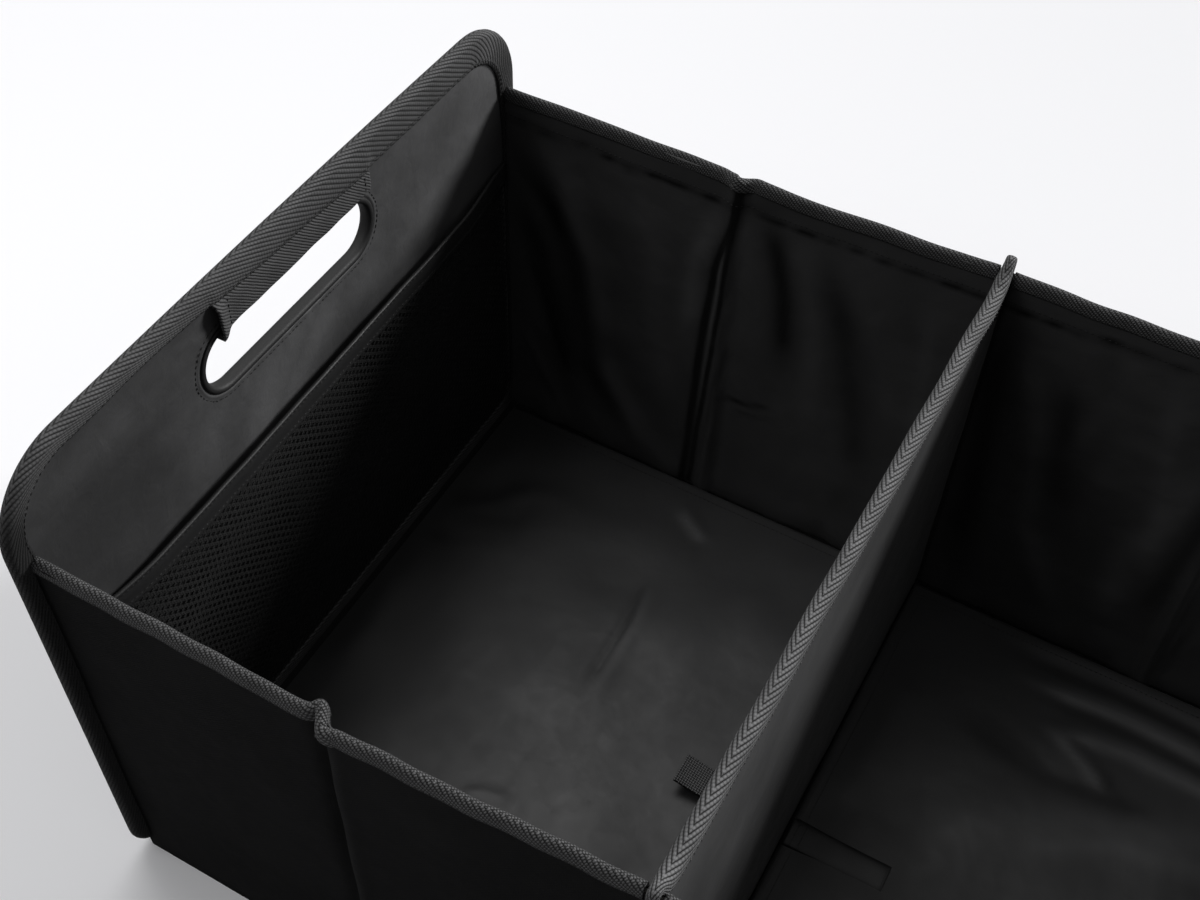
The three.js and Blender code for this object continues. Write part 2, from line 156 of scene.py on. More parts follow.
def gridMesh(name, points, uv, material, wrapRows=False, wrapCols=False, facing=None):
    rows, cols = points.shape[:2]
    ii, jj = np.meshgrid(
        np.arange(rows if wrapRows else rows - 1), np.arange(cols if wrapCols else cols - 1), indexing="ij"
    )
    corners = [(ii, jj), (ii + 1, jj), (ii + 1, jj + 1), (ii, jj + 1)]
    flat = points.reshape(-1, 3)

    def quads():
        return np.stack([(a % rows) * cols + b % cols for a, b in corners], -1).reshape(-1, 4)

    faces = quads()
    p = [flat[faces[:, k]] for k in range(4)]
    normals = np.cross(p[2] - p[0], p[3] - p[1])
    if facing is None:
        middle = flat.mean(axis=0)
        outward = float((normals * ((p[0] + p[2]) / 2.0 - middle)).sum())
    else:
        outward = float((normals * np.array(facing, dtype=float)).sum())
    if outward < 0:
        corners.reverse()
        faces = quads()
    mesh = bpy.data.meshes.new(name)
    mesh.from_pydata((flat * mm).tolist(), [], faces.tolist())
    layer = mesh.uv_layers.new(name="UVMap")
    loopUv = np.stack([uv[a, b] for a, b in corners], 2).reshape(-1, 2)
    layer.data.foreach_set("uv", loopUv.ravel())
    mesh.polygons.foreach_set("use_smooth", [True] * len(mesh.polygons))
    mesh.materials.append(material)
    return linkObject(name, mesh)


def shadeMesh(obj, values):
    # Painted light and shade per point: below nought is painted shade on the shaded side of a crease, above it a
    # painted highlight on a ridge
    layer = obj.data.attributes.new("shade", "FLOAT", "POINT")
    layer.data.foreach_set("value", np.clip(values, -1.0, 1.0).ravel())


# Of each cloth and tape, inwards from the face that shows
thickness = {"wall cloth": 0.7, "cloth": 0.6, "tape": 0.85, "divider tape": 0.8, "slot edging": 0.5,
             "grip tape": 1.2, "net": 0.5, "pocket hem": 0.4, "base cloth": 0.8}


def thicken(obj, amount):
    shell = obj.modifiers.new("thickness", "SOLIDIFY")
    shell.thickness = amount * mm
    shell.offset = -1.0
    shell.use_quality_normals = True


def gridUv(points):
    # UVs in metres from the mean distances along the grid's two directions
    along, across = (np.linalg.norm(np.diff(points, axis=k), axis=2).mean(axis=1 - k) for k in (0, 1))
    return uvGrid(runs(along), runs(across))


def resample(points, step, closed=False):
    loop = np.vstack([points, points[:1]]) if closed else points
    lengths = runs(np.linalg.norm(np.diff(loop, axis=0), axis=1))
    count = max(int(round(lengths[-1] / step)), 2)
    targets = np.linspace(0.0, lengths[-1], count + 1)
    if closed:
        targets = targets[:-1]
    placed = np.stack([np.interp(targets, lengths, loop[:, k]) for k in range(loop.shape[1])], -1)
    return placed, targets, lengths[-1]


# Materials

class Wires:
    # A node tree with short ways to add a node and to join sockets
    def __init__(self, tree):
        self.tree = tree

    def add(self, kind, inputs=None, **settings):
        node = self.tree.nodes.new(kind)
        for name, value in settings.items():
            setattr(node, name, value)
        self.putAll(inputs or {}, node)
        return node

    def put(self, value, socket):
        if isinstance(value, bpy.types.NodeSocket):
            self.tree.links.new(value, socket)
        else:
            socket.default_value = value

    def putAll(self, values, node):
        for socket, value in values.items():
            self.put(value, node.inputs[socket])

    def math(self, operation, a, b=None, c=None):
        inputs = {i: value for i, value in enumerate((a, b, c)) if value is not None}
        return self.add("ShaderNodeMath", inputs, operation=operation).outputs[0]

    def wave(self, value):
        # A sine whose half waves are one unit long
        return self.math("SINE", self.math("MULTIPLY", value, math.pi))

    def noise(self, vector, scale, detail, distortion=0.0):
        inputs = {"Vector": vector, "Scale": scale, "Detail": detail, "Distortion": distortion}
        return self.add("ShaderNodeTexNoise", inputs).outputs[0]

    def bump(self, strength, distance, height, **more):
        inputs = {"Strength": strength, "Distance": distance, "Height": height, **more}
        return self.add("ShaderNodeBump", inputs).outputs[0]

    def place(self, kind):
        return self.add("ShaderNodeTexCoord").outputs[kind]


def newGroup(name, inputs, outputs):
    group = bpy.data.node_groups.new(name, "ShaderNodeTree")
    for label, kind, value in inputs:
        socket = group.interface.new_socket(name=label, in_out="INPUT", socket_type=kind)
        if value is not None:
            socket.default_value = value
    for label, kind in outputs:
        group.interface.new_socket(name=label, in_out="OUTPUT", socket_type=kind)
    wires = Wires(group)
    return group, wires, group.nodes.new("NodeGroupInput"), group.nodes.new("NodeGroupOutput")


def buildHerringbone():
    # Twill ribs that turn at the tape's middle, each rib a row of yarn beads
    group, w, given, out = newGroup(
        "herringbone ribs",
        [
            ("Vector", "NodeSocketVector", None),
            ("Repeat", "NodeSocketFloat", 0.004),
            ("Slope", "NodeSocketFloat", 1.0),
            ("Bead", "NodeSocketFloat", 0.3),
            ("Bead pitch", "NodeSocketFloat", 0.0019),
            ("Grain", "NodeSocketFloat", 2600.0),
            ("Rough", "NodeSocketFloat", 0.55),
        ],
        [("Height", "NodeSocketFloat"), ("Wear", "NodeSocketFloat")],
    )
    vector, slope = given.outputs["Vector"], given.outputs["Slope"]
    split = w.add("ShaderNodeSeparateXYZ", {0: vector})
    shift = w.math("MULTIPLY", w.math("SUBTRACT", w.noise(vector, 240.0, 1.0), 0.5), 0.0006)
    across = w.math("ABSOLUTE", split.outputs[1])
    along = w.math("ADD", w.math("MULTIPLY_ADD", across, slope, split.outputs[0]), shift)
    phase = w.math("DIVIDE", along, given.outputs["Repeat"])
    rib = w.math("POWER", w.math("ABSOLUTE", w.wave(phase)), 0.7)
    turned = w.math("SUBTRACT", across, w.math("MULTIPLY", split.outputs[0], slope))
    length = w.math("SQRT", w.math("MULTIPLY_ADD", slope, slope, 1.0))
    place = w.math("DIVIDE", w.math("DIVIDE", turned, length), given.outputs["Bead pitch"])
    stagger = w.math("MULTIPLY", w.math("FLOOR", phase), 0.37)
    bead = w.math("ABSOLUTE", w.wave(w.math("ADD", place, stagger)))
    gap = w.math("MULTIPLY", w.math("SUBTRACT", 1.0, bead), given.outputs["Bead"])
    beaded = w.math("MULTIPLY", rib, w.math("SUBTRACT", 1.0, gap))
    yarn = w.noise(vector, given.outputs["Grain"], 2.0)
    rough = w.math("MULTIPLY", w.math("SUBTRACT", yarn, 0.5), given.outputs["Rough"])
    w.put(w.math("MULTIPLY_ADD", rough, beaded, beaded), out.inputs["Height"])
    w.put(w.noise(vector, 55.0, 3.0), out.inputs["Wear"])
    return group


def buildWeave():
    # Plain weave: threads of the two directions take turns on top
    group, w, given, out = newGroup(
        "plain weave",
        [("Vector", "NodeSocketVector", None), ("Thread", "NodeSocketFloat", 0.0006)],
        [("Height", "NodeSocketFloat"), ("Slub", "NodeSocketFloat")],
    )
    vector, thread = given.outputs["Vector"], given.outputs["Thread"]
    split = w.add("ShaderNodeSeparateXYZ", {0: vector})
    sineA = w.wave(w.math("DIVIDE", split.outputs[0], thread))
    sineB = w.wave(w.math("DIVIDE", split.outputs[1], thread))
    over = w.math("MULTIPLY", sineA, sineB)
    warp = w.math("MULTIPLY", w.math("ABSOLUTE", sineA), w.math("GREATER_THAN", over, 0.0))
    weft = w.math("MULTIPLY", w.math("ABSOLUTE", sineB), w.math("LESS_THAN", over, 0.0))
    w.put(w.math("ADD", warp, weft), out.inputs["Height"])
    stretched = w.add("ShaderNodeMapping", {0: vector, "Scale": (60.0, 900.0, 1.0)})
    w.put(w.noise(stretched.outputs[0], 1.0, 2.0), out.inputs["Slub"])
    return group


def buildMottle():
    # Broad, soft unevenness of cloth that has been folded and handled
    group, w, given, out = newGroup(
        "handled cloth",
        [("Vector", "NodeSocketVector", None), ("Scale", "NodeSocketFloat", 12.0)],
        [("Broad", "NodeSocketFloat"), ("Fine", "NodeSocketFloat")],
    )
    vector, scale = given.outputs["Vector"], given.outputs["Scale"]
    w.put(w.noise(vector, scale, 3.0, 0.6), out.inputs["Broad"])
    w.put(w.noise(vector, w.math("MULTIPLY", scale, 9.0), 4.0, 0.4), out.inputs["Fine"])
    return group


herringbone = buildHerringbone()
weave = buildWeave()
mottle = buildMottle()


def newMaterial(name):
    material = bpy.data.materials.new(name)
    material.use_nodes = True
    tree = material.node_tree
    tree.nodes.clear()
    w = Wires(tree)
    out = w.add("ShaderNodeOutputMaterial")
    shader = w.add("ShaderNodeBsdfPrincipled")
    w.put(shader.outputs[0], out.inputs["Surface"])
    return material, w, shader


def grey(level, tint=(1.0, 1.0, 1.02)):
    # A display level (0 to 255) as a linear colour
    value = level / 255.0
    linear = value / 12.92 if value <= 0.04045 else ((value + 0.055) / 1.055) ** 2.4
    return tuple(linear * t for t in tint) + (1.0,)


def mixColour(w, share, dark, light):
    node = w.add("ShaderNodeMix", data_type="RGBA")
    w.put(share, node.inputs[0])
    w.put(dark, node.inputs[6])
    w.put(light, node.inputs[7])
    return node.outputs[2]


def ramp(w, value, low, high, outLow=0.0, outHigh=1.0):
    node = w.add("ShaderNodeMapRange", {0: value, 1: low, 2: high, 3: outLow, 4: outHigh})
    return node.outputs[0]


clothLooks = {
    "outer cloth": {"dark": 21, "light": 35, "patch": 0.35, "thread": 0.00075, "bump": 0.5, "depth": 0.00018,
                    "rough": 0.66, "specular": 0.5, "ior": 1.1, "sheen": 0.0, "dents": 0.35},
    "lining cloth": {"dark": 47, "light": 61, "patch": 0.35, "thread": 0.0004, "bump": 0.16,
                     "depth": 0.00008, "rough": 0.44, "specular": 0.42, "ior": 1.5, "sheen": 0.04, "dents": 0.3},
    "panel cloth": {"dark": 48, "light": 76, "patch": 0.75, "thread": 0.0004, "bump": 0.16, "depth": 0.00008,
                    "rough": 0.48, "specular": 0.36, "ior": 1.5, "sheen": 0.05, "dents": 0.5},
    "floor cloth": {"dark": 36, "light": 46, "patch": 0.3, "thread": 0.0004, "bump": 0.16, "depth": 0.00008,
                    "rough": 0.42, "specular": 0.36, "ior": 1.5, "sheen": 0.03, "dents": 0.12},
}


def shaded(w, colour, dark, light=None):
    # Painted shade darkens creases and a painted highlight lightens ridges, by the mesh's own "shade" values
    shade = w.add("ShaderNodeAttribute", attribute_name="shade").outputs["Fac"]
    colour = mixColour(w, w.math("MULTIPLY", shade, -1.0), colour, dark)
    return mixColour(w, shade, colour, light) if light else colour


def clothMaterial(name, look):
    material, w, shader = newMaterial(name)
    threads = w.add("ShaderNodeGroup", node_tree=weave)
    w.putAll({"Vector": w.place("UV"), "Thread": look["thread"]}, threads)
    handled = w.add("ShaderNodeGroup", node_tree=mottle)
    w.putAll({"Vector": w.place("Object"), "Scale": 11.0}, handled)
    height, slub = threads.outputs["Height"], threads.outputs["Slub"]
    broad, fine = handled.outputs["Broad"], handled.outputs["Fine"]
    # Colour follows the weave: thread crowns are painted lighter, a painted highlight, with slub and broad
    # patches as the cloth's own uneven tone
    share = w.math("ADD", w.math("MULTIPLY", height, 0.45), w.math("MULTIPLY", slub, 0.25))
    share = w.math("ADD", share, ramp(w, broad, 0.3, 0.7, 0.1 - look["patch"], look["patch"]))
    colour = mixColour(w, share, grey(look["dark"]), grey(look["light"]))
    uneven = w.math("ADD", ramp(w, broad, 0.3, 0.7, -0.05, 0.05), ramp(w, fine, 0.3, 0.7, -0.04, 0.04))
    threadHeight = w.math("ADD", height, w.math("MULTIPLY", slub, 0.6))
    threadBump = w.bump(look["bump"], look["depth"], threadHeight)
    w.putAll({
        # Painted shade in creases and painted highlight on ridges, from the mesh's "shade" values
        "Base Color": shaded(w, colour, grey(look["dark"] * 0.2), grey(look["light"] * 1.45)),
        "Roughness": w.math("ADD", uneven, look["rough"]),
        "Normal": w.bump(look["dents"], 0.0012, fine, Normal=threadBump),
        "Specular IOR Level": look["specular"],
        "IOR": look["ior"],
        "Sheen Weight": look["sheen"],
        "Sheen Roughness": 0.4,
    }, shader)
    return material


tapeLooks = {
    "panel tape": {"dark": 8, "light": 82, "ribs": {
        "Repeat": 0.0048, "Slope": -2.3, "Bead": 0.3, "Bead pitch": 0.0019, "Grain": 2600.0, "Rough": 0.6}},
    "wall tape": {"dark": 3, "light": 94, "ribs": {
        "Repeat": 0.0030, "Slope": -1.4, "Bead": 0.7, "Bead pitch": 0.0012, "Grain": 1300.0, "Rough": 1.5}},
    "divider tape": {"dark": 4, "light": 114, "ribs": {
        "Repeat": 0.0046, "Slope": -2.2, "Bead": 0.35, "Bead pitch": 0.0019, "Grain": 2600.0, "Rough": 0.7}},
    "grip tape": {"dark": 8, "light": 82, "ribs": {
        "Repeat": 0.0022, "Slope": -1.1, "Bead": 0.15, "Bead pitch": 0.0019, "Grain": 2600.0, "Rough": 0.6}},
}


def tapeMaterial(name, look):
    material, w, shader = newMaterial(name)
    ribs = w.add("ShaderNodeGroup", node_tree=herringbone)
    w.putAll({"Vector": w.place("UV"), **look["ribs"]}, ribs)
    height = ribs.outputs["Height"]
    wear = ramp(w, ribs.outputs["Wear"], 0.25, 0.75, 0.7, 1.15)
    # Colour follows the rib height: painted highlight on the crowns and painted shade in the grooves, with an
    # uneven tone along the tape
    share = w.math("MULTIPLY", ramp(w, height, 0.25, 1.0), wear)
    dark = grey(look["dark"])
    w.putAll({
        # Painted shade from the mesh's "shade" values darkens the tape further
        "Base Color": shaded(w, mixColour(w, share, dark, grey(look["light"])), dark),
        "Roughness": ramp(w, height, 0.0, 1.0, 0.85, 0.58),
        "Normal": w.bump(0.9, 0.0005, height),
        "Specular IOR Level": 0.3,
        "Sheen Weight": 0.05,
        "Sheen Roughness": 0.45,
    }, shader)
    return material


threadLooks = {
    "seam thread": {"level": 30, "rough": 0.6},
    "pocket band": {"level": 40, "rough": 0.5},
    "slot edging": {"level": 40, "rough": 0.6},
}


def threadMaterial(name, look):
    material, w, shader = newMaterial(name)
    level, rough = look["level"], look["rough"]
    twist = w.noise(w.place("Object"), 1800.0, 2.0)
    w.putAll({
        "Base Color": mixColour(w, twist, grey(level * 0.45), grey(level)),
        "Roughness": ramp(w, twist, 0.3, 0.7, rough - 0.08, rough + 0.08),
        "Normal": w.bump(0.5, 0.0002, twist),
        "Specular IOR Level": 0.35,
    }, shader)
    return material


# Dark yarn, with painted glints on the knots of the lattice
netColours = {"dark": 3, "light": 26}


def netMaterial():
    material, w, shader = newMaterial("pocket net yarn")
    uv = w.place("UV")
    # UVs count half cells, so the diagonals of the lattice are the sum and the difference
    split = w.add("ShaderNodeSeparateXYZ", {0: uv}).outputs
    rise, fall = (w.math("COSINE", w.math("MULTIPLY", w.math(way, split[0], split[1]), math.pi))
                  for way in ("ADD", "SUBTRACT"))
    # Painted glints at the knots where the diagonals cross, uneven from knot to knot
    knotGlints = w.math("POWER", w.math("ABSOLUTE", w.math("MULTIPLY", rise, fall)), 1.4)
    share = w.math("MULTIPLY", knotGlints, ramp(w, w.noise(uv, 0.35, 3.0), 0.3, 0.7, 0.5, 1.15))
    w.putAll({
        "Base Color": mixColour(w, share, grey(netColours["dark"]), grey(netColours["light"])),
        "Roughness": ramp(w, share, 0.0, 1.0, 0.8, 0.5),
        "Normal": w.bump(0.8, 0.0003, share),
        "Specular IOR Level": 0.4,
    }, shader)
    return material


webbingLook = {"dark": 5, "light": 118, "thread": 0.00146}


def webbingMaterial():
    material, w, shader = newMaterial("tab webbing")
    uv = w.place("UV")
    threads = w.add("ShaderNodeGroup", node_tree=weave)
    w.putAll({"Vector": uv, "Thread": webbingLook["thread"]}, threads)
    height = w.math("ADD", threads.outputs["Height"], w.math("MULTIPLY", w.noise(uv, 1800.0, 2.0), 0.4))
    # The raised thread crowns are painted light and the gaps dark: painted highlight and painted shade on the
    # weave
    share = ramp(w, height, 0.6, 1.3)
    w.putAll({
        "Base Color": mixColour(w, share, grey(webbingLook["dark"]), grey(webbingLook["light"])),
        "Roughness": ramp(w, height, 0.2, 1.2, 0.85, 0.6),
        "Normal": w.bump(1.0, 0.0006, height),
        "Specular IOR Level": 0.25,
    }, shader)
    return material


def boardMaterial():
    material, w, shader = newMaterial("grey stiffener board")
    place = w.place("Object")
    fibres = w.noise(place, 300.0, 5.0)
    flecks = w.noise(place, 45.0, 3.0)
    share = w.math("ADD", w.math("MULTIPLY", fibres, 0.6), w.math("MULTIPLY", flecks, 0.4))
    w.putAll({
        "Base Color": mixColour(w, share, grey(70, (1.0, 0.96, 0.88)), grey(105, (1.0, 0.96, 0.9))),
        "Roughness": ramp(w, fibres, 0.3, 0.7, 0.8, 0.95),
        "Normal": w.bump(0.4, 0.0003, fibres),
    }, shader)
    return material


cloths = {name: clothMaterial(name, look) for name, look in clothLooks.items()}
outerCloth, liningCloth = cloths["outer cloth"], cloths["lining cloth"]
tapes = {name: tapeMaterial(name, look) for name, look in tapeLooks.items()}
threads = {name: threadMaterial(name, look) for name, look in threadLooks.items()}
netYarn = netMaterial()
webbing = webbingMaterial()
board = boardMaterial()

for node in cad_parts:
    holder = bpy.data.objects.get(node)
    if holder and holder.type == "MESH" and "board" in node:
        for holderSlot in holder.material_slots:
            holderSlot.material = board
print("materials ready")


# Finished pieces: the body each one joins, its slot (not used), and the nodes that it stands for

def finishPiece(obj, body, slot, *nodes):
    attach(obj, body)
    if nodes:
        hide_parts(*nodes)


stitchLines = {"case": [], "left_base": [], "right_base": []}


def stitchAlong(points, body="case", closed=False):
    line = np.vstack([points, points[:1]]) if closed else points
    stitchLines[body].append(np.array(line, dtype=float))


# Walls: the middle line of each, seen from above, with its pleat at the fold

wallShape = {
    "front": {"knuckle": 0.5, "knuckleAt": 2.2, "backStep": 0.8, "seed": 11},
    "back": {"knuckle": 0.8, "knuckleAt": -1.0, "backStep": 1.0, "seed": 23},
}


def leanAt(x, name):
    beyond = np.abs(x) - case["foldX"]
    share = 1.0 - np.abs(beyond) / case["foldX"]
    width = case["pleatWidth"]
    stepped = smoothStep(-beyond, -width / 2, width)
    straight = case["backLean"] * share if name == "back" else -case["frontStep"] * share * stepped
    return straight + case["foldPleat"] * bell(beyond, width)


def wallMiddle(x, name):
    # Distance from the organizer's middle to the wall's own middle
    shape = wallShape[name]
    beyond = np.abs(x) - case["foldX"]
    lean = leanAt(x, name)
    lean += shape["knuckle"] * bell(beyond - shape["knuckleAt"], 3.2)
    lean -= shape["backStep"] * bell(beyond + 7.5, 4.5)
    return case["wallY"] - lean


def tapeMiddle(x, name):
    # The binding turns more sharply at the fold than the cloth under it
    if name == "back":
        return wallMiddle(x, name)
    beyond = np.abs(x) - case["foldX"]
    share = 1.0 - np.abs(beyond) / case["foldX"]
    lean = -case["frontStep"] * share * smoothStep(-beyond, -1.5, 4.5)
    lean += 1.9 * bell(beyond - 1.6, 3.2) + 1.3 * bell(beyond - 2.2, 1.8)
    lean -= 0.9 * bell(beyond + 6.0, 3.2)
    return case["wallY"] - lean


def denseX(x0, x1, step, near=0.9):
    # Even steps, closer together round the fold
    sign = 1.0 if x0 + x1 > 0 else -1.0
    foldX = sign * case["foldX"]
    closer = 22.0
    parts = [np.arange(x0, foldX - closer, step), np.arange(foldX - closer, foldX + closer, near),
             np.arange(foldX + closer, x1, step), [x1]]
    return np.unique(np.concatenate(parts))


# Lines of points with a width and a height. Those at a fold are measured from the fold.
coverLook = {
    "step": 4.4, "near": 1.7, "rows": 42,
    "folds": [([(-1, 262), (0, 140), (2, 4)], 2.2, -1.6), ([(6, 256), (7, 140), (8, 4)], 4.5, 1.1)],
    # Painted shade in the groove at each fold and a painted highlight on the ridge beside it
    "shades": [([(-1, 320), (0, 140), (2, -60)], 1.8, -0.9), ([(6, 320), (7, 140), (8, -60)], 4.0, 0.3)],
    # Where two boards meet at the divider, then straight pulls from the wall's corners
    "pulls": [
        ([(-1, 258), (0, 120), (0, 6)], 5.0, -0.5),
        ([(-290, 240), (-240, 130), (-190, 20)], 16.0, 0.7),
        ([(40, 250), (90, 140), (110, 30)], 18.0, 0.6),
    ],
}


def addWallCover(name, side):
    end, step, near = case["wallEndX"], coverLook["step"], coverLook["near"]
    x = np.unique(np.concatenate([denseX(-end, 0.0, step, near), denseX(0.0, end, step, near)]))
    z = np.linspace(case["footZ"], case["clothTop"] - 1.0, coverLook["rows"])
    xx, zz = np.meshgrid(x, z, indexing="ij")
    seed = wallShape[name]["seed"]
    slack = smoothStep(zz, 0.0, 60.0) * smoothStep(case["clothTop"] - zz, 0.0, 40.0)
    bump = 0.45 * softWaves(xx, zz, seed, 180.0, 50.0) * (0.3 + 0.7 * slack)
    bump += foldSum(xx, zz, coverLook["pulls"])
    # Painted shade and painted highlight at each fold, carried by the "shade" values
    shade = np.zeros_like(xx)
    for fromFold in (xx + case["foldX"], xx - case["foldX"]):
        bump += foldSum(fromFold, zz, coverLook["folds"])
        shade += foldSum(fromFold, zz, coverLook["shades"])
    # Deep only at the folds, where no board is behind the cloth
    bump = np.clip(bump, -0.35 - 1.25 * bell(np.abs(xx) - case["foldX"], 3.0), 2.2)
    out = wallMiddle(xx, name) + case["wallFace"] + bump * 0.8
    points = np.stack([xx, side * out, zz], -1)
    obj = gridMesh(f"{name}_wall_cloth", points, flatUv(xx, zz), facing=(0, side, 0), material=outerCloth)
    shadeMesh(obj, shade)
    thicken(obj, thickness["wall cloth"])
    finishPiece(obj, "case", "outer_cloth", f"{name}_wall_cover")


liningFolds = {
    ("back", "left"): [
        ([(-284, 246), (-256, 213), (-238, 150), (-233, 84), (-196, 28), (-165, 6)], 10.0, 3.4),
        ([(-292, 215), (-268, 190), (-254, 140), (-250, 80), (-222, 20)], 7.0, -1.8),
        ([(-285, 141), (-268, 109), (-247, 38)], 3.6, 1.3),
        ([(-289, 84), (-271, 48), (-251, 8)], 3.6, 1.3),
        ([(-149, 260), (-156, 202), (-160, 109), (-161, 2)], 2.4, -2.6),
        ([(-142, 263), (-143, 208), (-146, 116), (-156, 1)], 2.2, -2.0),
        ([(-134, 247), (-118, 196), (-108, 120)], 8.0, -1.7),
        ([(-104, 240), (-92, 180), (-84, 90)], 9.0, 1.3),
        ([(-82, 214), (-64, 174), (-43, 104)], 7.5, -1.6),
        ([(-143, 84), (-126, 90), (-109, 95)], 3.0, 0.6),
        ([(-30, 230), (-22, 150), (-14, 60)], 6.0, 1.2),
        ([(-212, 236), (-196, 190), (-190, 120), (-176, 60)], 9.0, 1.1),
    ],
    ("back", "right"): [
        ([(12, 240), (40, 170), (52, 90), (90, 20)], 9.0, 2.2),
        ([(60, 250), (74, 180), (70, 100)], 7.0, -1.4),
        ([(98, 244), (112, 170), (128, 80)], 7.0, 1.5),
        ([(142, 262), (144, 180), (150, 90), (152, 2)], 2.4, -2.4),
        ([(152, 262), (158, 190), (160, 80), (158, 2)], 2.2, -1.8),
        ([(176, 240), (196, 160), (204, 60)], 8.0, 1.8),
        ([(226, 250), (240, 170), (262, 80), (284, 20)], 9.0, 2.6),
        ([(262, 240), (274, 170), (284, 100)], 5.0, -1.2),
    ],
    ("front", "left"): [
        ([(-286, 238), (-262, 170), (-236, 90), (-210, 16)], 9.0, 2.6),
        ([(-246, 246), (-226, 160), (-214, 90)], 7.0, -1.3),
        ([(-156, 262), (-158, 190), (-154, 90), (-156, 2)], 2.4, -2.2),
        ([(-143, 262), (-142, 190), (-146, 90), (-148, 2)], 2.2, -1.9),
        ([(-112, 236), (-96, 160), (-90, 70)], 8.0, 1.5),
        ([(-60, 246), (-48, 160), (-24, 60)], 8.0, 1.7),
    ],
    ("front", "right"): [
        ([(14, 238), (34, 160), (60, 60)], 8.0, 1.9),
        ([(84, 246), (96, 160), (92, 70)], 7.0, -1.3),
        ([(142, 262), (142, 190), (147, 90), (147, 2)], 2.4, -2.2),
        ([(154, 262), (158, 190), (156, 90), (158, 2)], 2.2, -1.8),
        ([(190, 240), (206, 150), (232, 50)], 8.0, 1.8),
        ([(252, 246), (264, 160), (284, 70)], 8.0, 2.2),
    ],
}


# Painted shade on the shaded sides of folds and in the slits at the middle fold, and painted highlights on the
# ridges beside them
liningShades = {
    ("back", "left"): [
        ([(-291, 226), (-268, 196), (-248, 164), (-241, 126), (-233, 68), (-205, 18)], 8.0, -0.9),
        ([(-292, 196), (-277, 160), (-262, 100), (-248, 36)], 8.0, -0.7),
        ([(-286, 152), (-268, 110), (-250, 48)], 3.0, -0.5),
        ([(-144, 330), (-146, 262), (-148, 229), (-151, 157), (-157, 60), (-162, -70)], 1.9, -1.5),
        ([(-142, 300), (-149, 232), (-157, 194), (-161, 135), (-163, 60), (-166, -70)], 2.3, -1.4),
        ([(-147, 280), (-152, 205), (-156, 140), (-160, 40)], 1.7, 0.35),
        ([(-142, 250), (-144, 200), (-146, 120)], 2.2, 0.5),
        ([(-158, 246), (-170, 196), (-172, 130)], 6.0, 0.35),
        ([(-129, 248), (-120, 219), (-113, 190), (-108, 140)], 7.0, -0.8),
        ([(-98, 240), (-78, 186), (-61, 120), (-50, 60)], 9.0, -0.6),
        ([(-146, 93), (-128, 97), (-111, 100)], 1.9, -1.0),
        ([(-138, 86), (-122, 90), (-106, 91)], 1.6, -0.45),
    ],
    ("back", "right"): [
        ([(6, 250), (14, 150), (24, 20)], 10.0, -0.8),
        ([(50, 215), (56, 162), (65, 106)], 9.0, -0.6),
        ([(74, 224), (66, 180), (58, 150)], 5.0, 0.15),
        ([(128, 190), (120, 133), (108, 97), (115, 36)], 9.0, 0.35),
        ([(146, 200), (138, 130), (130, 50)], 7.0, -0.6),
    ],
}


def liningShade(xx, zz, name, bay):
    # Painted shade in the valleys and painted highlight on the ridges of the folds
    total = foldSum(xx, zz, liningFolds[(name, bay)], 0.12)
    total += foldSum(xx, zz, liningShades.get((name, bay), []))
    # Painted shade along the seam below the binding
    line = 244.5 + softWaves(xx, xx * 0.0, 17, 120.0, 40.0, 8)
    total -= (0.75 + 0.3 * softWaves(xx, xx * 0.0, 19, 30.0, 9.0, 8)) * bell(zz - line, 1.9)
    return total


def liningInward(xx, zz, name, bay):
    # How far the lining stands in from its flat place
    seed = 100 * ("front", "back").index(name) + 10 * ("left", "right").index(bay) + 7
    top = smoothStep(case["clothTop"] - zz, 6.0, 34.0)
    ends = smoothStep(296.5 - np.abs(xx), 0.0, 16.0) * smoothStep(np.abs(xx) - 3.0, 0.0, 14.0)
    loose = top * (0.25 + 0.75 * ends)
    amount = 0.42 * softWaves(xx, zz, seed, 120.0, 34.0, 18) * loose
    amount += 0.12 * softWaves(xx, zz, seed + 1, 26.0, 9.0, 18) * loose
    amount += foldSum(xx, zz, liningFolds[(name, bay)]) * (0.2 + 0.8 * top)
    # Puckers along the seam below the binding, and gathers where the lining meets the floor
    seam = bell(zz - 243.0 - 2.0 * softWaves(xx, xx * 0, seed + 2, 220.0, 90.0, 6), 5.0)
    amount -= 0.35 * seam * (0.7 + 0.6 * softWaves(xx, xx * 0.0, seed + 3, 14.0, 6.0, 8))
    foot = 1.0 - smoothStep(zz, 6.0, 34.0)
    amount += foot * (1.6 + 0.7 * softWaves(xx, zz * 0.2, seed + 4, 46.0, 16.0, 10))
    # It keeps clear of the base board's swing, and of the boards but at the fold
    room = np.maximum(wallMiddle(xx, name) - case["wallFace"] - case["linersApart"], 0.5)
    deepest = -0.65 - 1.6 * bell(np.abs(xx) - case["foldX"], 1.1)
    return np.where(amount > 0, room * np.tanh(amount / room), deepest * np.tanh(amount / deepest))


liningLook = {"start": 2.8, "pastEnd": 2.6, "step": 3.4, "near": 1.15, "rows": 70, "seamZ": 246.5}


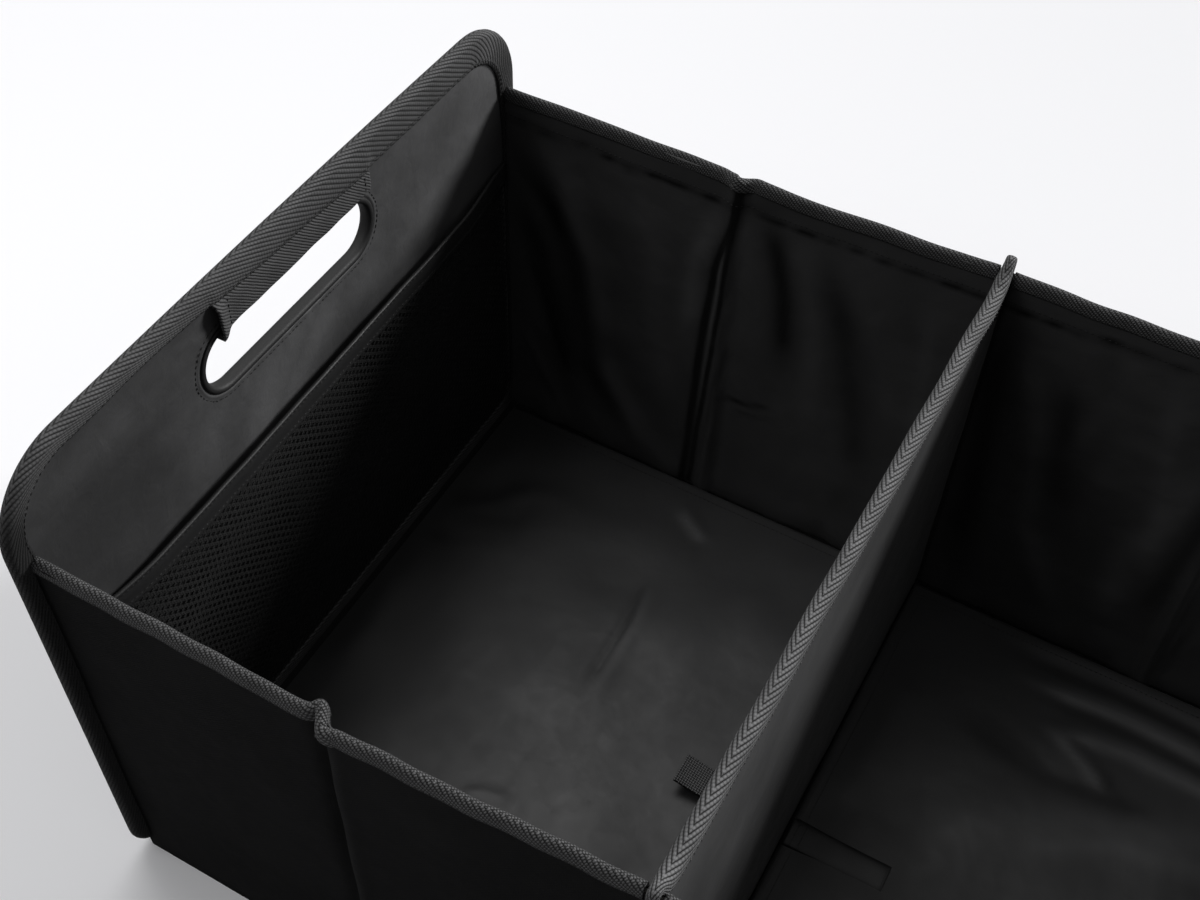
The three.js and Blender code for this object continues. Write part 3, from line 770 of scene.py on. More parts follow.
def addLining(name, side, bay, sign):
    start = liningLook["start"]
    x0, x1 = sorted((sign * start, sign * (case["wallEndX"] + liningLook["pastEnd"])))
    x = denseX(x0, x1, liningLook["step"], liningLook["near"])
    z = np.linspace(case["footZ"], case["clothTop"] - 1.0, liningLook["rows"])
    xx, zz = np.meshgrid(x, z, indexing="ij")
    place = wallMiddle(xx, name) - case["wallFace"] - liningInward(xx, zz, name, bay)
    points = np.stack([xx, side * place, zz], -1)
    obj = gridMesh(f"{name}_{bay}_lining_cloth", points, flatUv(xx, zz), facing=(0, -side, 0),
                   material=liningCloth)
    shadeMesh(obj, liningShade(xx, zz, name, bay))
    thicken(obj, thickness["cloth"])
    finishPiece(obj, "case", "lining_cloth", f"{name}_lining_{bay}")
    row = int(np.argmin(np.abs(z - liningLook["seamZ"])))
    stitchAlong(points[1:-1, row] + np.array([0.0, -side * 0.25, 0.0]))


def tapeSection(half, face, edge, puff=0.25, bends=9, rows=6):
    # (across the thickness, below the crest, distance across the tape from its middle)
    down = np.linspace(face, edge, rows)
    bulge = puff * np.sin(np.linspace(0.0, math.pi, rows))
    turn = np.linspace(0.0, math.pi, bends + 2)[1:-1]
    x = np.concatenate([half + bulge, half * np.cos(turn), -(half + bulge)[::-1]])
    depth = np.concatenate([down, edge * (1.0 - np.sin(turn)), down[::-1]])
    steps = np.hypot(np.diff(x), np.diff(depth))
    v = runs(steps)
    return x, depth, v - v[-1] / 2.0


def sweepTape(name, middle, axis, below, section, share, material):
    # The section is carried along the middle line; share scales its depth at each point
    x, depth, v = section
    points = (middle[:, None, :] + axis[:, None, :] * x[None, :, None]
              + below[:, None, :] * (depth[None, :] * share[:, None])[:, :, None])
    along = runs(np.linalg.norm(np.diff(middle, axis=0), axis=1))
    obj = gridMesh(name, points, uvGrid(along, v), material=material)
    return obj, points, along[-1], v[-1] - v[0]


wallTape = {"start": 4.1, "step": 2.4, "near": 0.6, "half": 2.6, "face": 7.8, "edge": 2.9,
            # Rise beside the divider
            "rise": {("back", "left"): 1.2, ("back", "right"): -0.6, ("front", "left"): 0.6,
                     ("front", "right"): 0.6}}


def addWallTape(name, side, bay, sign):
    x0, x1 = sorted((sign * wallTape["start"], sign * (case["wallEndX"] - 0.2)))
    x = denseX(x0, x1, wallTape["step"], wallTape["near"])
    seed = wallShape[name]["seed"] + (0 if sign < 0 else 3)
    y = tapeMiddle(x, name) + 0.25 * softWaves(x, x * 0, seed, 90.0, 24.0, 8)
    z = case["wallHeight"] + 0.35 * softWaves(x, x * 0, seed + 1, 110.0, 26.0, 8)
    d = (x - sign * case["foldX"]) * -sign
    z = z + 1.4 * bell(d + 1.5, 3.0) - 1.1 * bell(d - 6.0, 3.4)
    z = z + bell(np.abs(x) - 4.0, 9.0) * wallTape["rise"][(name, bay)]
    middle = np.stack([x, side * y, z], -1)
    tangent = unit(np.gradient(middle, axis=0))
    axis = unit(np.stack([-tangent[:, 1], tangent[:, 0], np.zeros(len(x))], -1))
    below = np.cross(tangent, axis)
    below *= np.sign(-below[:, 2:3])
    section = tapeSection(wallTape["half"], wallTape["face"], wallTape["edge"])
    obj, points, length, width = sweepTape(f"{name}_{bay}_tape", middle, axis, below, section,
                                           np.ones(len(x)), tapes["wall tape"])
    thicken(obj, thickness["tape"])
    finishPiece(obj, "case", "herringbone_tape", f"{name}_binding_{bay}")
    for column, push in ((1, axis), (-2, -axis)):
        stitchAlong(points[1:-1, column] + push[1:-1] * 0.15)


for name, side in (("front", -1.0), ("back", 1.0)):
    addWallCover(name, side)
    for bay, sign in bothSides:
        addLining(name, side, bay, sign)
        addWallTape(name, side, bay, sign)
print("walls ready")


# Divider: two cloth faces and a binding whose ends hook over the long walls

dividerShape = {
    "reach": 188.0, "face": 10.0, "half": 3.7, "edge": 3.6, "bulge": 0.7,
    "pulls": [
        ([(-150, 238), (-90, 150), (-60, 60)], 14.0, 0.35),
        ([(120, 240), (160, 120), (176, 20)], 10.0, 0.45),
    ],
    # The binding climbs to a hook over each wall:
    # (across, share of the rise, more height, share of its depth)
    "rise": {-1.0: 4.2, 1.0: 8.6},
    "climb": [
        (168.0, 0.0, 0.0, 1.0), (176.0, 0.0, 0.2, 1.0), (183.0, 0.35, 0.0, 0.95), (187.5, 0.82, 0.0, 0.62),
        (190.5, 1.0, 0.0, 0.42), (192.6, 1.0, -0.3, 0.34), (194.2, 1.0, -1.6, 0.28), (194.7, 1.0, -3.6, 0.2),
        (194.5, 0.0, -3.0, 0.12), (194.2, 0.0, -8.0, 0.1), (194.1, 0.0, -13.0, 0.1),
    ],
}


def addDividerFace(bay, sign):
    reach = dividerShape["reach"]
    y = np.linspace(-reach, reach, 72)
    z = np.linspace(case["footZ"], case["clothTop"] - 1.0, 52)
    yy, zz = np.meshgrid(y, z, indexing="ij")
    belly = np.cos(yy / reach * math.pi / 2) * np.sin(np.clip(zz / 260.0, 0, 1) * math.pi)
    proud = 0.18 * softWaves(yy, zz, 61 + int(sign), 160.0, 40.0)
    proud += 0.3 * np.maximum(dividerShape["bulge"] * belly, 0)
    proud += foldSum(yy, zz, dividerShape["pulls"])
    points = np.stack([sign * (2.5 + np.maximum(proud, -0.15)), yy, zz], -1)
    obj = gridMesh(f"divider_{bay}_cloth", points, flatUv(yy, zz), facing=(sign, 0, 0),
                   material=liningCloth)
    # Painted light: the face is lightened near its top towards the near end, where the light falls on it
    shadeMesh(obj, 0.5 * smoothStep(zz, 180.0, 262.0) * (1.0 - smoothStep(yy, -90.0, 70.0)))
    thicken(obj, thickness["cloth"])
    finishPiece(obj, "case", "lining_cloth", f"divider_cover_{bay}")


def addDividerTape():
    half = {}
    for sign, rise in dividerShape["rise"].items():
        half[sign] = [(sign * y, case["wallHeight"] + share * rise + more, depth)
                      for y, share, more, depth in dividerShape["climb"]]
    path = np.array(half[-1.0][::-1] + half[1.0])
    route, along, _ = resample(path, 1.6)
    wobble = 0.22 * softWaves(along, along * 0, 77, 80.0, 22.0, 8)
    wobble = wobble * smoothStep(190.0 - np.abs(route[:, 0]), 0, 30)
    middle = np.stack([wobble, route[:, 0], route[:, 1] + 0.2 * wobble], -1)
    tangent = unit(np.gradient(middle, axis=0))
    axis = np.tile([1.0, 0.0, 0.0], (len(middle), 1))
    below = unit(np.cross(axis, tangent))
    # Narrower where it hooks over the walls
    axis = axis * (1.0 - 0.3 * smoothStep(np.abs(route[:, 0]), 180.0, 189.0))[:, None]
    below *= -1.0 if below[len(below) // 2, 2] > 0 else 1.0
    section = tapeSection(dividerShape["half"], dividerShape["face"], dividerShape["edge"], 0.3)
    obj, points, length, width = sweepTape("divider_tape", middle, axis, below, section, route[:, 2],
                                           tapes["divider tape"])
    thicken(obj, thickness["divider tape"])
    finishPiece(obj, "case", "herringbone_tape", "divider_binding")
    flat = np.abs(route[:, 0]) < 178.0
    for column, push in ((1, 0.2), (-2, -0.2)):
        stitchAlong(points[flat, column] + np.array([push, 0.0, 0.0]))


for bay, sign in bothSides:
    addDividerFace(bay, sign)
addDividerTape()
print("divider ready")


# End panels. Each is drawn in its own place (out, across, up); the left one is turned half round.

def endPlace(sign, local):
    out, across, up = local[..., 0], local[..., 1], local[..., 2]
    return np.stack([sign * (case["panelX"] + out), sign * across, up], -1)


def arc(cy, cz, radius, start, end, count=24):
    angles = np.radians(np.linspace(start, end, count))
    return np.stack([cy + radius * np.cos(angles), cz + radius * np.sin(angles)], -1)


def panelOutline(inset, step):
    half = case["panelHalfWidth"] - inset
    top = case["panelHeight"] - inset - case["panelDome"]
    upper = max(case["topRadius"] - inset, 1.0)
    lower = max(case["bottomRadius"] - inset, 1.0)
    reach = half - upper
    crestY = np.linspace(reach, -reach, 60)[1:-1]
    crest = np.stack([crestY, top + case["panelDome"] * (1.0 - (crestY / reach) ** 2)], -1)
    loop = np.vstack([
        [[0.0, inset]],
        arc(half - lower, inset + lower, lower, -90, 0),
        arc(half - upper, top - upper, upper, 0, 90, 36),
        crest,
        arc(-half + upper, top - upper, upper, 90, 180, 36),
        arc(-half + lower, inset + lower, lower, 180, 270),
    ])
    return resample(loop, step, closed=True)


def slotOutline(grow, step):
    radius = case["slotHeight"] / 2 + grow
    run = (case["slotLength"] - case["slotHeight"]) / 2
    shift, z = case["slotShift"], case["slotZ"]
    loop = np.vstack([
        [[shift, z - radius]],
        arc(shift + run, z, radius, -90, 90, 40),
        arc(shift - run, z, radius, 90, 270, 40),
    ])
    return resample(loop, step, closed=True)


def inwardNormals(loop):
    tangent = unit(np.roll(loop, -1, axis=0) - np.roll(loop, 1, axis=0))
    return np.stack([-tangent[:, 1], tangent[:, 0]], -1), tangent


def cornerShare(loop):
    # 0 along the straight edges, 1 round the corners
    _, tangent = inwardNormals(loop)
    angle = np.unwrap(np.arctan2(tangent[:, 1], tangent[:, 0]))
    turn = np.gradient(angle)
    share = np.clip(turn / np.percentile(turn, 90), 0.0, 1.0)
    kernel = np.hanning(9)
    kernel /= kernel.sum()
    return np.convolve(np.pad(share, 4, mode="wrap"), kernel, mode="valid")


panelLook = {
    "tapeFace": 14.0, "half": 3.7, "edge": 3.1, "pucker": 0.35, "puckerEvery": 5.3,
    "coverInset": 1.6, "coverRings": 24, "coverSpokes": 240,
    # Distances from the slot of the cover's first rings
    "collar": [2.2, 2.8, 3.4, 4.0, 4.6, 5.2, 6.0, 7.0, 8.4],
    # Short pulls, from the slot's near end, then dents beside the grip: (across, up), width and height
    "pulls": [
        ([(2, 262), (16, 246), (34, 236)], 3.2, 0.55),
        ([(-5, 288), (2, 292), (13, 299)], 3.0, 0.5),
        ([(4, 272), (26, 270), (48, 262)], 4.0, 0.35),
    ],
    "dents": [
        ([(-50, 250), (-74, 236), (-100, 226)], 4.0, 0.35),
        ([(-60, 276), (-82, 286), (-104, 290)], 4.0, 0.4),
        ([(20, 240), (60, 228), (110, 222)], 6.0, 0.3),
    ],
}


def evenPoints(loop, count):
    return loop[(np.arange(count) * len(loop) // count) % len(loop)]


def slotDistance(y, z):
    run = (case["slotLength"] - case["slotHeight"]) / 2
    beyond = np.maximum(np.abs(y - case["slotShift"]) - run, 0.0)
    return np.hypot(beyond, z - case["slotZ"]) - case["slotHeight"] / 2


def panelCloth(side, sign, face):
    # face is +1 for the outer cover and -1 for the inner one
    spokes, rings = panelLook["coverSpokes"], panelLook["coverRings"]
    collar = panelLook["collar"]
    outer = evenPoints(panelOutline(panelLook["coverInset"], 1.0)[0], spokes)
    near = [evenPoints(slotOutline(grow, 1.0)[0], spokes) for grow in collar]
    t = np.linspace(0.0, 1.0, rings)[1:] ** 1.15
    far = [near[-1] * (1.0 - share) + outer * share for share in t]
    flat = np.stack(near + far)
    y, z = flat[..., 0], flat[..., 1]
    seed = 31 + (2 if sign > 0 else 0) + (1 if face > 0 else 0)
    fromSlot = slotDistance(y, z)
    toRim = np.concatenate([np.zeros(len(collar)), t])[:, None] * np.ones_like(y)
    away = smoothStep(fromSlot, 4.0, 20.0) * smoothStep(1.0 - toRim, 0.1, 0.25)
    proud = 0.4 * softWaves(y, z, seed, 150.0, 45.0, 16) + 0.1 * softWaves(y, z, seed + 9, 36.0, 12.0, 18)
    proud = proud * away
    # The edging's seam: a ridge, a groove and small puckers round the slot
    proud += 0.5 * bell(fromSlot - 4.6, 0.9) - 0.3 * bell(fromSlot - 3.1, 0.6)
    proud += 0.22 * softWaves(y, z, seed + 4, 22.0, 8.0, 14) * bell(fromSlot - 8.0, 3.5)
    nearEnd = case["slotShift"] + 66.0
    proud += foldSum(y - nearEnd, z, panelLook["pulls"]) + foldSum(y, z, panelLook["dents"])
    out = face * (2.5 + np.clip(proud, -0.3, 1.4))
    points = endPlace(sign, np.stack([out, y, z], -1))
    uv = flatUv(y, z)
    uv = np.concatenate([uv, uv[:, :1]], axis=1)
    where = "outer" if face > 0 else "inner"
    material, slot = (outerCloth, "outer_cloth") if face > 0 else (cloths["panel cloth"], "lining_cloth")
    obj = gridMesh(f"{side}_end_{where}_cloth", points, uv, wrapCols=True, facing=(sign * face, 0, 0),
                   material=material)
    thicken(obj, thickness["cloth"])
    finishPiece(obj, "case", slot, f"{side}_end_{where}_cover")


gripShape = {"under": 3.3, "half": 4.5, "length": 123.0, "topBelow": 4.5, "hemLift": 3.4}


def faceScale(loop):
    # How wide the tape's face is: narrow at one end of the top, wide at the other
    onTop = smoothStep(loop[:, 1], 230.0, 300.0)
    share = smoothStep(-loop[:, 0], -112.0, 55.0)
    return 1.0 + onTop * (-0.42 + 0.82 * share)


def panelTape(side, sign):
    loop, along, length = panelOutline(0.0, 1.6)
    normal, _ = inwardNormals(loop)
    corner = cornerShare(loop)
    edge = panelLook["edge"]
    x, depth, v = tapeSection(panelLook["half"], panelLook["tapeFace"], edge, 0.35, 6, 7)
    wide = faceScale(loop)[:, None]
    face = np.sign(x)[None, :]
    seed = 41 if sign < 0 else 47
    hemShare = smoothStep(depth, 6.0, 18.0)[None, :]
    uneven = 0.8 * softWaves(along, along * 0, seed, 60.0, 20.0)
    pucker = panelLook["pucker"] * np.sin(along * 2 * math.pi / panelLook["puckerEvery"] + uneven)
    ripple = (pucker * (0.12 + 0.88 * corner))[:, None] * hemShare * face
    wander = 0.55 * softWaves(along, along * 0, seed + 1, 140.0, 40.0, 8)
    stitchDip = -0.3 * bell(depth - 15.0, 1.2)[None, :] * face
    local = np.zeros((len(loop), len(x), 3))
    local[..., 0] = x[None, :] + ripple + stitchDip
    reach = np.minimum(depth, edge)[None, :] + np.maximum(depth - edge, 0.0)[None, :] * wide
    reach = reach + hemShare * wander[:, None]
    # It stands out over the grip
    overGrip = smoothStep(gripShape["length"] / 2 + 3.0 - np.abs(loop[:, 0]), 0.0, 6.0)
    overGrip = overGrip * (loop[:, 1] > 300.0)
    local[..., 0] += face * overGrip[:, None] * smoothStep(depth, 2.0, 9.0)[None, :]
    local[..., 1] = loop[:, 0:1] + normal[:, 0:1] * reach
    local[..., 2] = loop[:, 1:2] + normal[:, 1:2] * reach
    points = endPlace(sign, local)
    ends = np.append(along, length)
    uv = uvGrid(ends, v)
    obj = gridMesh(f"{side}_end_tape", points, uv, wrapRows=True, material=tapes["panel tape"])
    # Painted shade: the binding's uprights are darkened below the top, standing in for the shadow they lie in
    uprightShade = smoothStep(np.abs(local[..., 1]), 172.0, 188.0)
    uprightShade = uprightShade * (1.0 - smoothStep(local[..., 2], 278.0, 308.0))
    shadeMesh(obj, -0.93 * uprightShade)
    thicken(obj, thickness["tape"])
    finishPiece(obj, "case", "herringbone_tape", f"{side}_end_binding")
    for column, push in ((1, 0.2), (-2, -0.2)):
        stitchAlong(endPlace(sign, local[:, column] + np.array([push, 0.0, 0.0])), closed=True)


# Half of a rounded U round the slot's edge: (from the panel's middle, away from the slot)
edgingShape = {"half": [(2.7, 2.7), (3.15, 2.1), (3.3, 1.2), (3.0, 0.4), (2.2, -0.1), (1.1, -0.3)],
               "middle": (0.0, -0.35), "seam": 6.6, "seamOut": 2.75}


def slotEdging(side, sign):
    loop, along, length = slotOutline(0.0, 1.5)
    normal, _ = inwardNormals(loop)
    half = edgingShape["half"]
    section = np.array(half + [edgingShape["middle"]] + [(-thick, grow) for thick, grow in half[::-1]])
    thick, grow = section[:, 0], section[:, 1]
    local = np.zeros((len(loop), len(thick), 3))
    local[..., 0] = thick[None, :]
    local[..., 1] = loop[:, 0:1] - normal[:, 0:1] * grow[None, :]
    local[..., 2] = loop[:, 1:2] - normal[:, 1:2] * grow[None, :]
    points = endPlace(sign, local)
    v = runs(np.hypot(np.diff(thick), np.diff(grow)))
    uv = uvGrid(np.append(along, length), v)
    obj = gridMesh(f"{side}_slot_edging", points, uv, wrapRows=True, material=threads["slot edging"])
    thicken(obj, thickness["slot edging"])
    finishPiece(obj, "case", "herringbone_tape", f"{side}_slot_trim")
    seam, _, _ = slotOutline(edgingShape["seam"], 1.5)
    for face in (-1.0, 1.0):
        line = np.stack([np.full(len(seam), face * edgingShape["seamOut"]), seam[:, 0], seam[:, 1]], -1)
        stitchAlong(endPlace(sign, line), closed=True)


def crestAt(y):
    reach = case["panelHalfWidth"] - case["topRadius"]
    return case["panelHeight"] - case["panelDome"] * (y / reach) ** 2


def gripTape(side, sign):
    reach = gripShape["length"] / 2
    y = np.linspace(reach, -reach, 96)
    foot = case["slotZ"] + case["slotHeight"] / 2 - 1.5
    angle = -math.pi / 2 + 2 * math.pi * np.linspace(0.0, 1.0, 49)[:-1]
    c, s = np.cos(angle)[None, :], np.sin(angle)[None, :]
    top = crestAt(y)[:, None] - gripShape["topBelow"]
    up = (top + foot) / 2 + (top - foot) / 2 * np.sign(s) * np.abs(s) ** 0.62
    yy = np.repeat(y[:, None], len(angle), axis=1)
    crest = np.stack([y, np.full(len(y), 310.0)], -1)
    edge = panelLook["edge"]
    hem = crestAt(yy) - edge - (panelLook["tapeFace"] - edge) * faceScale(crest)[:, None]
    tucked = smoothStep(up, hem - 2.5, hem + 1.0)
    half = gripShape["half"] + (gripShape["under"] - gripShape["half"]) * tucked
    half -= 0.9 * smoothStep(-yy, reach - 9.0, reach)
    face = np.sign(c) * (np.abs(c) > 0.05)
    seed = 53 if sign < 0 else 59
    out = half * np.sign(c) * np.abs(c) ** 0.18
    out = out + face * 0.22 * softWaves(yy, up, seed, 60.0, 18.0, 14) * (1.0 - tucked)
    # The folded end stands off the panel's inner face
    end = smoothStep(yy, reach - 11.0, reach)
    out += face * end * (0.4 + gripShape["hemLift"] * (1.0 - tucked) * (face < 0))
    local = np.stack([out, yy, up], -1)
    girth = local[len(y) // 2]
    v = runs(np.linalg.norm(np.diff(girth, axis=0), axis=1))
    v = np.append(v, v[-1] + np.linalg.norm(girth[0] - girth[-1]))
    uv = uvGrid(-y, v - v[-1] / 2)
    points = endPlace(sign, local)
    obj = gridMesh(f"{side}_grip_tape", points, uv, wrapCols=True, material=tapes["grip tape"])
    thicken(obj, thickness["grip tape"])
    finishPiece(obj, "case", "herringbone_tape", f"{side}_handle_grip")
    for row in (7, len(y) - 5):
        upper = local[row]
        for wanted in (-1.0, 1.0):
            keep = (np.sign(upper[:, 0]) == wanted) & (upper[:, 2] > foot + 3)
            keep = keep & (upper[:, 2] < hem[row, 0] - 2)
            line = upper[keep] + np.array([wanted * 0.25, 0.0, 0.0])
            stitchAlong(endPlace(sign, line[np.argsort(line[:, 2])]))


# Pockets

pocketLook = {"halfWidth": 185.7, "footZ": 14.3, "bandHeight": 14.0, "cellWide": 6.4, "cellTall": 5.4,
              "holeShare": 0.6, "tilt": 5.5, "sag": 0.8, "seed": {"left": 67, "right": 71},
              # Round the closed band: front from bottom to top, then the back
              "band": [(-0.2, 0.0), (1.5, 0.25), (1.75, 1.4), (1.25, 2.6), (1.5, 5.0), (1.75, 8.0),
                       (1.5, 10.8), (1.3, 11.8), (1.8, 12.9), (1.5, 13.8), (0.4, 14.2), (-0.4, 13.8),
                       (-0.7, 12.0), (-0.7, 7.0), (-0.7, 1.5)]}


def bandTop(across):
    return case["pocketTop"] - pocketLook["tilt"] * across - pocketLook["sag"] * (1.0 - across ** 2)


def standOff(across, z):
    inner = smoothStep(1.0 - np.abs(across), 0.0, 0.3)
    netTop = case["pocketTop"] - pocketLook["bandHeight"]
    rise = np.clip((z - pocketLook["footZ"]) / (netTop - pocketLook["footZ"]), 0.0, 1.0)
    return case["pocketSlack"] * inner * rise


def pocketPlace(sign, y, z, proud, seed):
    across = np.clip(y / pocketLook["halfWidth"], -1.0, 1.0)
    drape = smoothStep(1.0 - np.abs(across), 0.0, 0.12)
    sway = 0.9 * softWaves(y, z, seed, 170.0, 60.0, 10) * drape * smoothStep(z, 30.0, 110.0)
    sway = sway * (1.0 - 0.8 * smoothStep(z, 130.0, 190.0))
    out = -(2.8 + standOff(across, z) + np.maximum(sway, -1.2) * smoothStep(z, 20.0, 90.0) + proud)
    return endPlace(sign, np.stack([out, y, z], -1))


def newPattern(name, labels):
    # A Geometry Nodes tree with a number for each label
    tree = bpy.data.node_groups.new(name, "GeometryNodeTree")
    face = tree.interface
    face.new_socket(name="Geometry", in_out="INPUT", socket_type="NodeSocketGeometry")
    for label in labels:
        face.new_socket(name=label, in_out="INPUT", socket_type="NodeSocketFloat")
    face.new_socket(name="Geometry", in_out="OUTPUT", socket_type="NodeSocketGeometry")
    return tree, Wires(tree), tree.nodes.new("NodeGroupInput")


def endPattern(w, geometry, material):
    real = w.add("GeometryNodeRealizeInstances", {"Geometry": geometry})
    dressed = w.add("GeometryNodeSetMaterial", {"Geometry": real.outputs[0], "Material": material})
    w.add("NodeGroupOutput", {"Geometry": dressed.outputs[0]})


def netTree():
    tree, w, given = newPattern("net holes", ["Hole share"])
    rim = w.add("GeometryNodeExtrudeMesh", mode="FACES")
    w.putAll({"Mesh": given.outputs["Geometry"], "Offset Scale": 0.0, "Individual": True}, rim)
    shrunk = w.add("GeometryNodeScaleElements", domain="FACE")
    w.putAll({"Geometry": rim.outputs["Mesh"], "Selection": rim.outputs["Top"],
              "Scale": given.outputs["Hole share"]}, shrunk)
    holed = w.add("GeometryNodeDeleteGeometry", domain="FACE")
    w.putAll({"Geometry": shrunk.outputs[0], "Selection": rim.outputs["Top"]}, holed)
    endPattern(w, holed.outputs[0], netYarn)
    return tree


def applyTree(obj, tree, values):
    modifier = obj.modifiers.new("pattern", "NODES")
    modifier.node_group = tree
    for item in tree.interface.items_tree:
        if item.item_type == "SOCKET" and item.in_out == "INPUT" and item.name in values:
            modifier[item.identifier] = values[item.name]
    obj.update_tag()
    evaluated = obj.evaluated_get(bpy.context.evaluated_depsgraph_get())
    mesh = bpy.data.meshes.new_from_object(evaluated)
    obj.modifiers.remove(modifier)
    old = obj.data
    obj.data = mesh
    bpy.data.meshes.remove(old)
    mesh.name = obj.name


netHoles = netTree()


def pocketNet(side, sign):
    # Diamonds in staggered rows; the tree cuts a hole in each
    half = pocketLook["halfWidth"] - 0.4
    columns = int(round(2 * half / pocketLook["cellWide"]))
    stepY = 2 * half / columns
    foot, top = pocketLook["footZ"] + 0.3, case["pocketTop"] - 4.0
    rows = int((top - foot) / (pocketLook["cellTall"] / 2))
    stepZ = (top - foot) / rows
    verts = {}
    positions = []
    faces = []

    def vertexAt(i, j):
        key = (i, j)
        if key not in verts:
            verts[key] = len(positions)
            positions.append((-half + i * stepY / 2, foot + j * stepZ))
        return verts[key]

    for j in range(1, rows):
        for i in range(1, 2 * columns):
            if (i + j) % 2:
                continue
            z = foot + j * stepZ
            y = -half + i * stepY / 2
            corner = max(11.3 - (pocketLook["halfWidth"] - abs(y)), 0.0)
            if z > bandTop(y / half) - pocketLook["bandHeight"] + 2.4 or z < foot + corner + 0.5:
                continue
            faces.append([vertexAt(i, j - 1), vertexAt(i + 1, j), vertexAt(i, j + 1), vertexAt(i - 1, j)])
    flat = np.array(positions)
    points = pocketPlace(sign, flat[:, 0], flat[:, 1], 0.6, pocketLook["seed"][side])
    mesh = bpy.data.meshes.new(f"{side}_net")
    mesh.from_pydata((points * mm).tolist(), [], faces)
    layer = mesh.uv_layers.new(name="UVMap")
    order = np.array(faces).ravel()
    cells = np.stack([(flat[:, 0] + half) / (stepY / 2) + 1.0, (flat[:, 1] - foot) / stepZ], -1)
    layer.data.foreach_set("uv", cells[order].ravel())
    mesh.update()
    if mesh.polygons[0].normal.x * sign > 0:
        mesh.flip_normals()
    obj = linkObject(f"{side}_net", mesh)
    applyTree(obj, netHoles, {"Hole share": pocketLook["holeShare"]})
    for polygon in obj.data.polygons:
        polygon.use_smooth = False
    thicken(obj, thickness["net"])
    finishPiece(obj, "case", "pocket_net", f"{side}_pocket_net")


def pocketBand(side, sign):
    half = pocketLook["halfWidth"] - 0.2
    y = np.linspace(-half, half, 150)
    seed = pocketLook["seed"][side]
    section = np.array(pocketLook["band"])
    yy = np.repeat(y[:, None], len(section), axis=1)
    zz = bandTop(yy / half) - pocketLook["bandHeight"] + section[None, :, 1]
    ripple = 0.12 * softWaves(yy, zz * 0.3, seed + 5, 60.0, 20.0, 12)
    points = pocketPlace(sign, yy, zz, section[None, :, 0] + 1.0 + ripple, seed)
    v = runs(np.hypot(np.diff(section[:, 0]), np.diff(section[:, 1])))
    v = np.append(v, v[-1] + 1.6)
    uv = uvGrid(y, v)
    obj = gridMesh(f"{side}_pocket_hem", points, uv, wrapCols=True, material=threads["pocket band"])
    thicken(obj, thickness["pocket hem"])
    finishPiece(obj, "case", "lining_cloth", f"{side}_pocket_band")
    for column in (3, 7):
        stitchAlong(points[2:-2, column] + np.array([-sign * 0.2, 0.0, 0.0]))


for side, sign in bothSides:
    panelCloth(side, sign, 1.0)
    panelCloth(side, sign, -1.0)
    panelTape(side, sign)
    slotEdging(side, sign)
    gripTape(side, sign)
    pocketNet(side, sign)
    pocketBand(side, sign)
print("end panels ready")


# Base: the outer skin, and in each bay a cloth-covered board, its hinge strip and its pull tab

def addBaseSkin():
    ends = case["wallEndX"] + 1.8
    step, near = 6.0, 1.6
    x = np.unique(np.concatenate([denseX(-ends, 0.0, step, near), denseX(0.0, ends, step, near),
                                  [0.6 - ends, ends - 0.6]]))
    share = np.linspace(0.0, 1.0, 40)
    near, far = -wallMiddle(x, "front") - 1.8, wallMiddle(x, "back") + 1.8
    xx = np.repeat(x[:, None], len(share), axis=1)
    yy = near[:, None] + (far - near)[:, None] * share[None, :]
    zz = np.maximum(0.2 + 0.12 * softWaves(xx, yy, 81, 150.0, 40.0), 0.0)
    # Its ends turn up under the end panels' round corners
    radius = case["bottomRadius"]
    past = np.clip(np.abs(yy) - (case["panelHalfWidth"] - radius), 0.0, radius)
    turnUp = radius - np.sqrt(radius ** 2 - past ** 2) + 1.2
    atEnd = np.abs(xx) > ends - 0.1
    points = np.stack([xx, yy, np.where(atEnd, np.maximum(zz, turnUp), zz)], -1)
    obj = gridMesh("base_cloth", points, flatUv(xx, yy), facing=(0, 0, -1), material=outerCloth)
    thicken(obj, thickness["base cloth"])
    finishPiece(obj, "case", "outer_cloth", "base_skin")


tabShape = {
    "width": 18.5, "length": 58.0, "y": -13.0,
    "left": {"lift": 7.0, "foot": 1.5, "gap": 1.45, "droop": 0.0, "cloth": 0.9, "shade": 0.0},
    "right": {"lift": 0.0, "foot": 0.0, "gap": 0.6, "droop": 1.0, "cloth": 0.5, "shade": -0.5},
}

